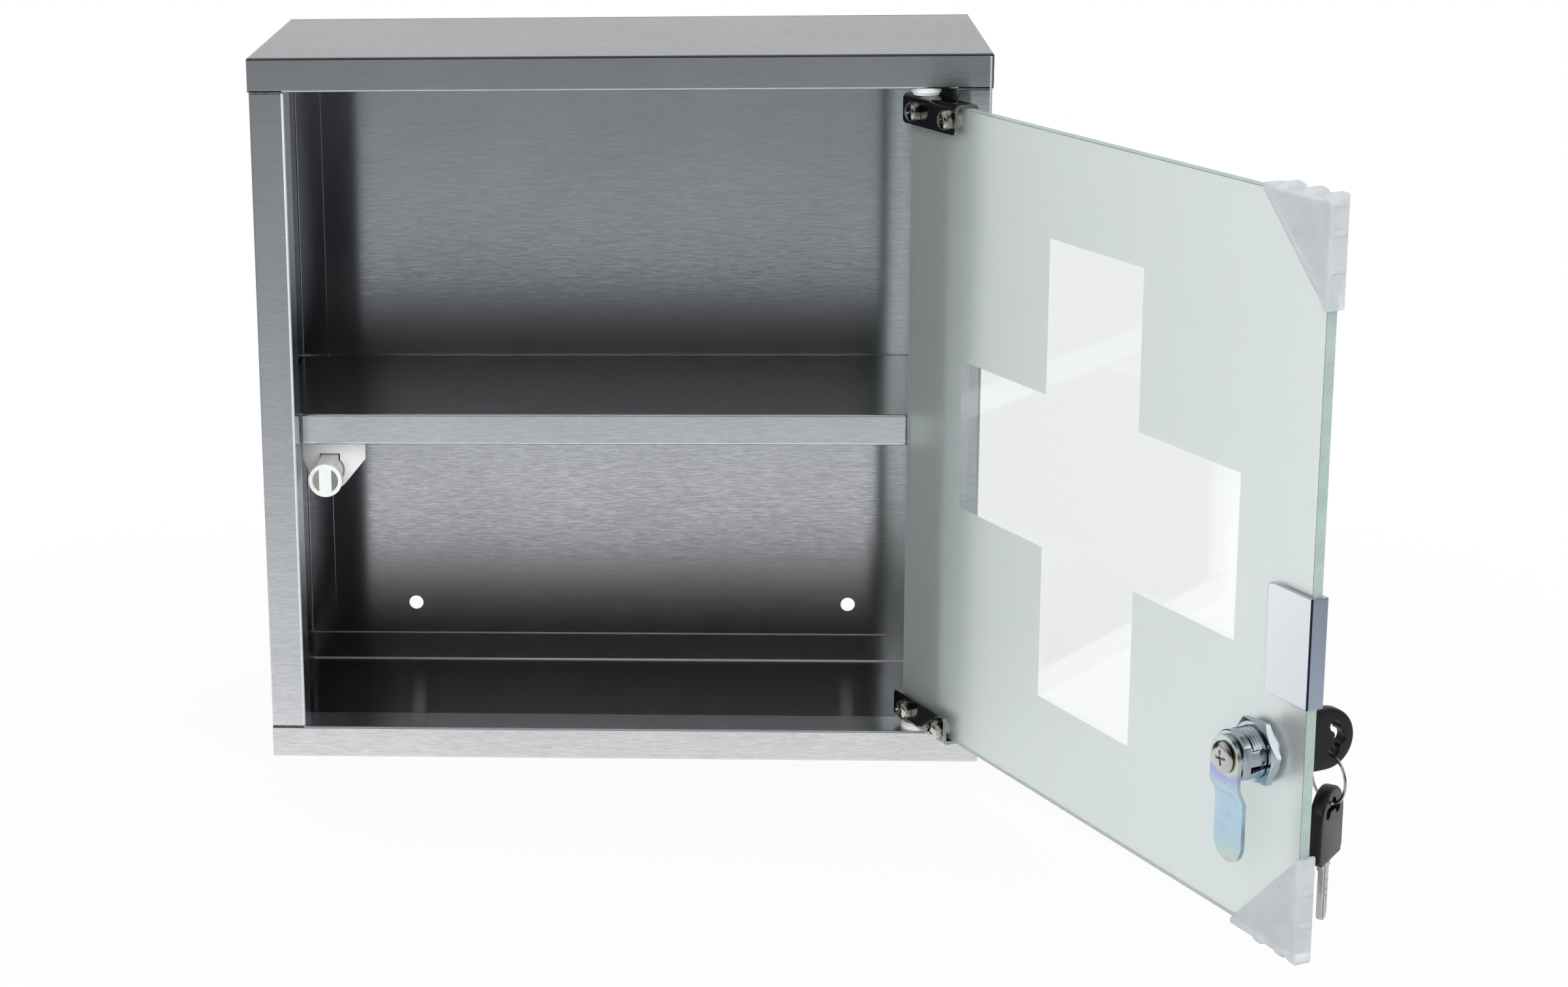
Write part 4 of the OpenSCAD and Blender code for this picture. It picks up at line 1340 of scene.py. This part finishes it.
@dataclass(frozen=True)
class CamLock:
    """The cam lock, on its own axis, with Z running into the case."""

    axis: tuple[float, float] = (-232.7, -65.1)
    bezel: tuple[float, float, float] = (-6.0, -3.6, 11.25)
    recess: tuple[float, float] = (7.05, -4.55)
    bore: float = 6.05
    core: float = 7.7
    thread_bore: float = 7.1
    crest: float = 9.25
    root: float = 8.55
    pitch: float = 1.15
    thread: tuple[float, float] = (4.85, 11.0)
    end: float = 14.35
    flat: float = 7.8
    lap: float = 0.1
    shoulder: float = 0.3
    end_chamfer: float = 0.35
    collar_edge: tuple[tuple[float, float], ...] = ((-0.8, 0.0), (-0.25, 0.2), (0.0, 0.7))
    nut_across: float = 22.0
    nut_turn: float = 5.0
    nut_levels: Triple = (1.15, 1.95, 5.0)
    nut_hole_play: float = 0.2
    seat_edge: float = 0.2
    nut_chamfer: tuple[float, float] = (0.3, 30.0)
    nut_lead: tuple[float, float] = (0.25, 0.6)
    nut_room: float = 0.5
    slot_half: float = 3.4
    slot_reach: tuple[float, float] = (12.9, 14.1)
    slot_top: float = 18.0
    slot_depth: float = 2.75
    screw_seat: float = 17.0
    screw_height: float = 1.5
    screw_turn: float = 8.0
    screw_profile: tuple[tuple[float, float], ...] = (
        (0.0, -1.5),
        (2.0, -1.5),
        (2.0, 0.0),
        (5.55, 0.0),
        (5.75, 0.15),
        (5.75, 0.5),
        (5.45, 0.72),
        (4.6, 1.05),
        (3.2, 1.33),
        (1.6, 1.46),
        (0.0, 1.5),
    )
    recess_arm: tuple[float, float] = (3.9, 0.85)
    recess_depth: float = 1.3

    def place(self) -> Place:
        """Gives the lock's own place on the door."""
        return DOOR_PLACE.within(shift(self.axis[0], 0.0, self.axis[1]), spin_about(-90.0, "X"))

    def build(self) -> None:
        """Builds and dresses the lock."""
        self.body()
        self.nut()
        for node, name, finish, ease in (
            ("lock_plug", "turning_plug", PLUG_ZINC, 0.15),
            ("cam_washer", "spring_washer", DARK_SPRING, 0.1),
            ("stop_washer", "stop_plate", LOCK_CHROME, 0.1),
        ):
            eased_copy(node, self.place(), name, finish, ease)
        BLACK_RUBBER.dress(frame["nodes"]["lock_gasket"])
        self.cam()
        self.screw()

    def body(self) -> None:
        """Builds the threaded body with its front collar and flats."""
        place = self.place()
        front, back, radius = self.bezel
        thread_start, thread_end = self.thread
        profile = [
            (self.bore, back + self.lap),
            (self.root, back + self.lap),
            (self.root, thread_start - self.lap),
            (self.core, thread_start - self.lap),
            (self.core, thread_end),
            (self.crest - self.shoulder, thread_end),
            (self.crest, thread_end + self.shoulder),
            (self.crest, self.end - self.end_chamfer),
            (self.crest - self.end_chamfer, self.end),
            (self.bore, self.end),
        ]
        tube = Shape.round(place, profile, closed=True)
        thread = Shape(place)
        thread.threaded_tube(self.crest, self.root, self.thread_bore, self.pitch, *self.thread)
        for part in (tube, thread):
            for side in (-1.0, 1.0):
                part.halve((side * self.flat, 0.0, 0.0), (side, 0.0, 0.0))
        tube.absorb(thread)
        recess_radius, recess_floor = self.recess
        collar_profile = [
            (self.bore, back),
            (self.bore, recess_floor),
            (recess_radius, recess_floor),
            (recess_radius, front + self.lap),
            (recess_radius + self.lap, front),
            *((radius + inward, front + up) for inward, up in self.collar_edge),
            (radius, back),
        ]
        tube.absorb(Shape.round(place, collar_profile, closed=True))
        tube.build("threaded_lock_body", LOCK_CHROME, "lock_body", ease=0.12, segments=1)

    def nut(self) -> None:
        """Builds the chamfered hexagon nut with its round seat."""
        place = self.place()
        seat_start, seat_end, top = self.nut_levels
        radius = self.nut_across / 2
        corner = radius / math.cos(math.pi / 6)
        turns = [math.radians(self.nut_turn) + side * math.pi / 3 for side in range(6)]
        hexagon = [(corner * math.cos(turn), corner * math.sin(turn), seat_end) for turn in turns]
        body = Shape.prism(place, hexagon, (0.0, 0.0, top - seat_end))
        inset, slope = self.nut_chamfer
        face, past = radius - inset, corner + Shape.overrun
        fall = (past - face) * math.tan(math.radians(slope))
        chamfer = [(face, top + self.nut_room), (face, top), (past, top - fall), (past, top + self.nut_room)]
        body.carve(Shape.round(place, chamfer, sides=96, closed=True))
        hole = self.root + self.nut_hole_play
        lead_width, lead_depth = self.nut_lead
        bore = [
            (0.0, seat_end - Shape.overrun),
            (hole, seat_end - Shape.overrun),
            (hole, top - lead_depth),
            (self.crest + lead_width, top + self.lap),
            (0.0, top + self.lap),
        ]
        body.carve(Shape.round(place, bore))
        seat = [
            (hole, seat_start),
            (radius - self.seat_edge, seat_start),
            (radius, seat_start + self.seat_edge),
            (radius, seat_end + self.lap),
            (hole, seat_end + self.lap),
        ]
        body.absorb(Shape.round(place, seat, closed=True))
        body.build("hexagon_nut", LOCK_CHROME, "lock_nut", ease=0.12, limit=24.0)

    def cam(self) -> None:
        """Builds the cranked cam with its stamped slot."""
        shape = Shape.of_node("cam", self.place())
        half, (near, far), top = self.slot_half, self.slot_reach, self.slot_top
        outline = [(-half, near, top), (half, near, top), (half, far, top), (-half, far, top)]
        shape.carve(Shape.prism(self.place(), outline, (0.0, 0.0, -self.slot_depth)))
        shape.build("cranked_cam", CAM_ZINC, "cam", ease=0.3, segments=3)

    def screw(self) -> None:
        """Builds the pan-head screw that holds the cam."""
        profile = [(radius, self.screw_seat + up) for radius, up in self.screw_profile]
        head = Shape.round(self.place(), profile)
        top = self.screw_seat + self.screw_height
        head.carve(cross_recess(*self.recess_arm, top, self.recess_depth))
        head.transform(spin_about(self.screw_turn, "Z"))
        head.build("pan_head_screw", HEAD_NICKEL, "cam_screw")


@dataclass(frozen=True)
class KeySet:
    """The key in the lock, the split ring and the spare, in the door's millimetres."""

    lock_axis: tuple[float, float] = (-232.7, -65.1)
    shoulder: float = -9.8
    ring_plane: float = -28.4
    ring_height: float = -80.408
    ring_radius: float = 9.3
    wire: tuple[float, float] = (0.92, 0.34)
    wire_gap: float = 0.01
    ring_turns: float = 1.93
    ring_start: float = 20.0
    ring_steps: int = 72
    spare_shoulder: float = -110.646
    spare_twist: float = 32.0
    eyes: tuple[Triple, ...] = ((18.6, 4.7, 2.25), (18.6, -4.7, 2.25), (20.9, 0.0, 2.6))
    eye_slot_half: float = 1.45
    eye_slot_reach: float = 4.0
    rim_round: float = 1.1
    rim_level: float = 2.4
    rim_start: float = 0.5
    rim_play: float = 0.3
    groove_ends: tuple[float, float] = (-24.5, -2.5)
    groove_sides: tuple[float, float] = (0.7, 1.6)
    groove_top: float = 1.4
    groove_depth: float = 0.75
    dimple_radius: float = 0.75
    dimple_level: float = 1.2
    dimples: tuple[tuple[float, float], ...] = (
        (-8.5, -1.2), (-12.0, -1.0), (-14.8, -1.4), (-1.6, -1.8), (-1.7, 2.2),
    )

    def key_place(self) -> Place:
        """Gives the place of the key in the lock, whose X runs along its head."""
        x, z = self.lock_axis
        return DOOR_PLACE.within(shift(x, self.shoulder, z), spin_about(90.0, "X"), spin_about(-90.0, "Y"))

    def spare_place(self) -> Place:
        """Gives the place of the spare key."""
        hang = shift(self.lock_axis[0], self.ring_plane, self.spare_shoulder)
        return DOOR_PLACE.within(hang, spin_about(self.spare_twist, "Z"), spin_about(-90.0, "Y"))

    def build(self) -> None:
        """Builds and dresses both keys and the ring."""
        for prefix, place in (("", self.key_place()), ("spare_", self.spare_place())):
            self.head(prefix, place)
            self.blade(prefix, place)
        self.ring()

    def head(self, prefix: str, place: Place) -> None:
        """Builds a key's moulded head.

        Args:
            prefix: Start of the node's name.
            place: The key's place.
        """
        shape = Shape.of_node(prefix + "key_head", place)
        outer = [edge for edge in shape.creases() if self.on_rim(edge)]
        shape.round_over(outer, self.rim_round, 4)
        for side_eye in self.eyes[:2]:
            shape.carve(self.eye_slot(place, side_eye, self.eyes[2]))
        shape.build(prefix + "moulded_key_head", KEY_PLASTIC, prefix + "key_head", ease=0.18)

    def eye_slot(self, place: Place, start: Triple, end: Triple) -> Shape:
        """Makes the cutter that joins two lobes of a key's eye.

        Args:
            place: The key's place.
            start: One lobe's centre and radius.
            end: The other's.

        Returns:
            The cutter.
        """
        first, last = Vector(start[:2]), Vector(end[:2])
        along = last - first
        aside = Vector((-along.y, along.x)).normalized() * self.eye_slot_half
        corners = (first - aside, last - aside, last + aside, first + aside)
        points = [(*spot, -self.eye_slot_reach) for spot in corners]
        return Shape.prism(place, points, (0.0, 0.0, 2 * self.eye_slot_reach))

    def on_rim(self, edge: bmesh.types.BMEdge) -> bool:
        """Says whether an edge runs along the head's round rim.

        Args:
            edge: An edge of the head, in the key's own millimetres.

        Returns:
            True on the rim's two long edges.
        """
        first, last = (vert.co for vert in edge.verts)
        middle = (first + last) / 2
        level = abs(first.z - last.z) < 0.01 and abs(middle.z) > self.rim_level
        clear = all(math.hypot(middle.x - x, middle.y - y) > r + self.rim_play for x, y, r in self.eyes)
        return level and clear and middle.x > self.rim_start

    def blade(self, prefix: str, place: Place) -> None:
        """Builds a key's blade with its side groove and its dimples.

        Args:
            prefix: Start of the node's name.
            place: The key's place.
        """
        shape = Shape.of_node(prefix + "key_blade", place)
        (start, end), (low, high) = self.groove_ends, self.groove_sides
        for side in (-1.0, 1.0):
            top = side * self.groove_top
            points = [(start, low, top), (end, low, top), (end, high, top), (start, high, top)]
            shape.carve(Shape.prism(place, points, (0.0, 0.0, -side * self.groove_depth)))
            for along, across in self.dimples:
                dimple = Shape(place)
                bmesh.ops.create_icosphere(dimple.mesh, subdivisions=2, radius=self.dimple_radius)
                spot = (along, side * across, side * self.dimple_level)
                bmesh.ops.translate(dimple.mesh, vec=spot, verts=dimple.mesh.verts)
                shape.carve(dimple)
        shape.build(prefix + "cut_key_blade", KEY_METAL, prefix + "key_blade", ease=0.12)

    def ring(self) -> None:
        """Builds the split ring as a flat wire wound nearly twice."""
        hang = shift(self.lock_axis[0], self.ring_plane, self.ring_height)
        shape = Shape(DOOR_PLACE.within(hang, spin_about(90.0, "X")))
        width, thick = self.wire
        rise = (thick + self.wire_gap) * self.ring_turns
        corners = ((-1, -1), (1, -1), (1, 1), (-1, 1))
        points = [
            (self.ring_radius + a * width / 2, 0.0, -rise / 2 + b * thick / 2) for a, b in corners
        ]
        section = shape.mesh.faces.new([shape.mesh.verts.new(point) for point in points])
        steps = round(self.ring_steps * self.ring_turns)
        shape.spin([section], steps, self.ring_turns, rise)
        shape.transform(spin_about(self.ring_start, "Z"))
        shape.face_out()
        shape.build("split_key_ring", RING_STEEL, "key_ring", ease=0.1)


@dataclass(frozen=True)
class PushLatch:
    """The push latch under the shelf, in the case's millimetres."""

    stem_end: float = -82.0
    end_room: float = 0.4

    def build(self) -> None:
        """Builds and dresses the latch, with room behind the stem for its end's rounding."""
        eased_copy("latch_housing", CASE_PLACE, "latch_bracket", NYLON, 0.25)
        head = Shape.of_node("latch_plunger", CASE_PLACE)
        for vert in head.mesh.verts:
            if vert.co.y > self.stem_end:
                vert.co.y -= self.end_room
        head.build("latch_head", NYLON, "latch_plunger", ease=0.4, segments=3)
        POLE_STEEL.dress(frame["nodes"]["latch_poles"], frame["nodes"]["latch_magnet"])


class SteelCase:
    """The folded case and its shelf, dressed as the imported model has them."""

    along_width = ("top_cap", "bottom_pan", "back_panel", "shelf")
    along_depth = ("left_side", "right_side")

    def build(self) -> None:
        """Dresses the case."""
        SHEET.dress(*(frame["nodes"][name] for name in self.along_width))
        SIDE_SHEET.dress(*(frame["nodes"][name] for name in self.along_depth))
        LOG.info("dressed the case and its shelf")


# The studio


@dataclass(frozen=True)
class Photograph:
    """The photograph's frame in pixels and the camera that was fitted to it."""

    width: int = 2408
    height: int = 1515
    focal: float = 4500.73
    axis_pixel: tuple[float, float] = (818.72, 564.86)
    place: Triple = (0.0414727, -1.2941164, 0.3106348)
    yaw: float = math.radians(3.77243)
    pitch: float = math.radians(-13.87636)
    roll: float = math.radians(-0.8908)
    sensor: float = 36.0
    clip_ends: tuple[float, float] = (0.05, 20.0)

    def camera(self) -> None:
        """Makes the camera and hands it to the scene."""
        data = bpy.data.cameras.new("photograph")
        data.sensor_width = self.sensor
        data.lens = self.focal / self.width * self.sensor
        data.shift_x = (self.width / 2 - self.axis_pixel[0]) / self.width
        data.shift_y = (self.axis_pixel[1] - self.height / 2) / self.width
        data.clip_start, data.clip_end = self.clip_ends
        camera = bpy.data.objects.new("photograph", data)
        turn = Matrix.Rotation(self.yaw, 4, "Z") @ Matrix.Rotation(self.pitch, 4, "X")
        turn = turn @ Matrix.Rotation(-self.roll, 4, "Y") @ Matrix.Rotation(math.pi / 2, 4, "X")
        camera.matrix_world = Matrix.Translation(self.place) @ turn
        bpy.context.scene.collection.objects.link(camera)
        bpy.context.scene.camera = camera


@dataclass(frozen=True)
class SoftBox:
    """One soft studio lamp, which metal doesn't mirror."""

    name: str
    place: Triple
    aim: Triple
    size: float
    power: float

    def build(self) -> None:
        """Makes the lamp and turns it to its aim."""
        data = bpy.data.lights.new(self.name, "AREA")
        data.shape = "SQUARE"
        data.size = self.size
        data.energy = self.power
        lamp = bpy.data.objects.new(self.name, data)
        look = Vector(self.aim) - Vector(self.place)
        turn = look.to_track_quat("-Z", "Y").to_matrix().to_4x4()
        lamp.matrix_world = Matrix.Translation(self.place) @ turn
        bpy.context.scene.collection.objects.link(lamp)
        lamp.visible_glossy = False


@dataclass
class Studio:
    """The pale floor, the soft lamps and the white surroundings."""

    floor_height: float = -0.1505
    floor_front: float = -4.5
    floor_back: float = 6.0
    floor_half: float = 5.0
    surround: float = 0.6
    front_dark: float = 0.012
    front_high: float = 0.42
    horizon: float = 0.75
    ceiling: float = 0.6
    centre: tuple[float, float] = (0.05, -0.1)
    near_half: float = 0.3
    fade: float = 1.4
    far_level: float = 0.25
    far_shade: Triple = (232, 243, 255)
    floor_shadow: float = 0.08
    floor_greys: tuple[float, float] = (0.86, 0.88)
    floor_roughness: float = 0.9
    floor_grain: float = 40.0
    contact: tuple[float, float] = (0.9, 0.65)
    side_weight: float = 4.0
    behind_ways: tuple[float, float] = (-0.35, 0.3)
    upward_ways: tuple[float, float] = (0.0, 0.55)
    overhead_ways: tuple[float, float] = (0.12, 0.5)
    mirrored_once: float = 0.5
    mirrored_twice: float = 1.5
    lamps: tuple[SoftBox, ...] = (
        SoftBox("key softbox", (-0.9, -1.6, 1.35), (0.05, -0.1, 0.0), 0.9, 11.0),
        SoftBox("fill softbox", (1.7, -1.1, 0.9), (0.1, -0.1, 0.0), 1.0, 8.0),
        SoftBox("top softbox", (0.0, 0.3, 1.7), (0.05, -0.1, 0.0), 1.2, 9.0),
        SoftBox("front softbox", (-0.2, -2.4, 0.5), (0.05, -0.1, 0.0), 1.2, 10.0),
    )

    def build(self) -> None:
        """Makes the whole studio."""
        for lamp in self.lamps:
            lamp.build()
        self.floor()
        self.world()

    def floor(self) -> None:
        """Makes the floor, which keeps the object's shadow and is white to the camera."""
        shape = bmesh.new()
        bmesh.ops.create_grid(shape, x_segments=1, y_segments=1, size=1.0)
        depth = (self.floor_back - self.floor_front) / 2
        bmesh.ops.scale(shape, vec=(self.floor_half, depth, 1.0), verts=shape.verts)
        middle = (self.floor_back + self.floor_front) / 2
        bmesh.ops.translate(shape, vec=(0.0, middle, self.floor_height), verts=shape.verts)
        mesh = bpy.data.meshes.new("floor")
        shape.to_mesh(mesh)
        shape.free()
        floor = bpy.data.objects.new("floor", mesh)
        bpy.context.scene.collection.objects.link(floor)
        material = bpy.data.materials.new("pale floor")
        material.use_nodes = True
        wires = Wiring(material.node_tree)
        shader = material.node_tree.nodes["Principled BSDF"]
        point = wires.object_point()
        darker, lighter = ((grey, grey, grey, 1.0) for grey in self.floor_greys)
        pale = wires.blend(wires.noise(point, self.floor_grain), darker, lighter)
        wires.feed(shader, base_color=pale, roughness=self.floor_roughness)
        rays = wires.node("LightPath").outputs
        near = self.nearness(wires, point)
        seen = self.seen(wires, rays)
        shown = wires.blend(seen, wires.blend(near, colour(self.far_shade), WHITE), WHITE)
        glow = wires.feed(wires.node("Emission"), color=shown, strength=wires.maths("MAXIMUM", seen, near))
        mirrored = wires.maths("GREATER_THAN", rays["Glossy Depth"], self.mirrored_once)
        reflected = wires.maths("MULTIPLY", mirrored, 1.0 - self.floor_shadow)
        clear = wires.ramp(near, *self.contact, 1.0 - self.floor_shadow, 1.0)
        share = wires.maths("MAXIMUM", wires.maths("MULTIPLY", seen, clear), reflected)
        mix = wires.feed(wires.node("MixShader"), in0=share, in1=shader.outputs[0], in2=glow.outputs[0])
        wires.feed(material.node_tree.nodes["Material Output"], surface=mix.outputs[0])
        mesh.materials.append(material)

    def seen(self, wires: Wiring, rays: Any) -> Any:
        """Gives which rays see the white surroundings: the camera's own, and those through glass.

        Args:
            wires: The wiring that asks.
            rays: The outputs of its Light Path node.

        Returns:
            A socket that is one for such a ray, and zero once metal has mirrored it.
        """
        through = wires.maths("LESS_THAN", rays["Glossy Depth"], self.mirrored_once)
        through = wires.maths("MULTIPLY", through, rays["Is Transmission Ray"])
        return wires.maths("MAXIMUM", rays["Is Camera Ray"], through)

    def nearness(self, wires: Wiring, point: Any) -> Any:
        """Gives how brightly the floor shows in metal: one at the case, fading with distance.

        Args:
            wires: The floor's wiring.
            point: The floor's own coordinates.

        Returns:
            The brightness socket.
        """
        aside, ahead = wires.parts(point)[:2]
        aside = wires.maths("ABSOLUTE", wires.maths("SUBTRACT", aside, self.centre[0]))
        aside = wires.maths("MAXIMUM", wires.maths("SUBTRACT", aside, self.near_half), 0.0)
        ahead = wires.maths("SUBTRACT", self.centre[1], ahead)
        across = wires.maths("MULTIPLY", wires.maths("POWER", aside, 2.0), self.side_weight)
        along = wires.maths("POWER", wires.maths("ABSOLUTE", ahead), 2.0)
        distance = wires.maths("SQRT", wires.maths("ADD", across, along))
        left = wires.maths("SUBTRACT", 1.0, wires.maths("DIVIDE", distance, self.fade), clamp=True)
        lit = wires.maths("MULTIPLY", wires.maths("POWER", left, 2.0), 1.0 - self.far_level)
        return wires.maths("ADD", lit, self.far_level)

    def world(self) -> None:
        """Makes the white surroundings, darker in front for what reflects the room."""
        world = bpy.data.worlds.new("studio")
        world.use_nodes = True
        bpy.context.scene.world = world
        wires = Wiring(world.node_tree)
        rays = wires.node("LightPath").outputs
        way = wires.parts(wires.node("TexCoord").outputs["Generated"])
        behind = wires.ramp(way[1], *self.behind_ways, 0.0, self.horizon)
        falling = wires.ramp(way[2], *self.upward_ways, 1.0, self.ceiling)
        once = wires.maths("LESS_THAN", rays["Glossy Depth"], self.mirrored_twice)
        overhead = wires.ramp(way[2], *self.overhead_ways, self.front_dark, self.front_high)
        overhead = wires.choose(once, self.front_dark, overhead)
        reflected = wires.maths("MAXIMUM", wires.maths("MULTIPLY", behind, falling), overhead)
        mirrored = wires.maths("GREATER_THAN", rays["Glossy Depth"], self.mirrored_once)
        plain = wires.choose(mirrored, self.surround, reflected)
        strength = wires.choose(self.seen(wires, rays), plain, 1.0)
        wires.feed(world.node_tree.nodes["Background"], color=WHITE, strength=strength)


def main() -> None:
    """Builds the camera, the studio and every sub-assembly."""
    logging.basicConfig(level=logging.INFO, format="%(name)s: %(message)s")
    bpy.context.scene.view_settings.view_transform = "Standard"
    Photograph().camera()
    Studio().build()
    for part in (SteelCase(), HingeSet(), GlassDoor(), DoorTrim(), CamLock(), KeySet(), PushLatch()):
        part.build()
        LOG.info("finished %s", type(part).__name__)


if __name__ == "__main__":
    main()
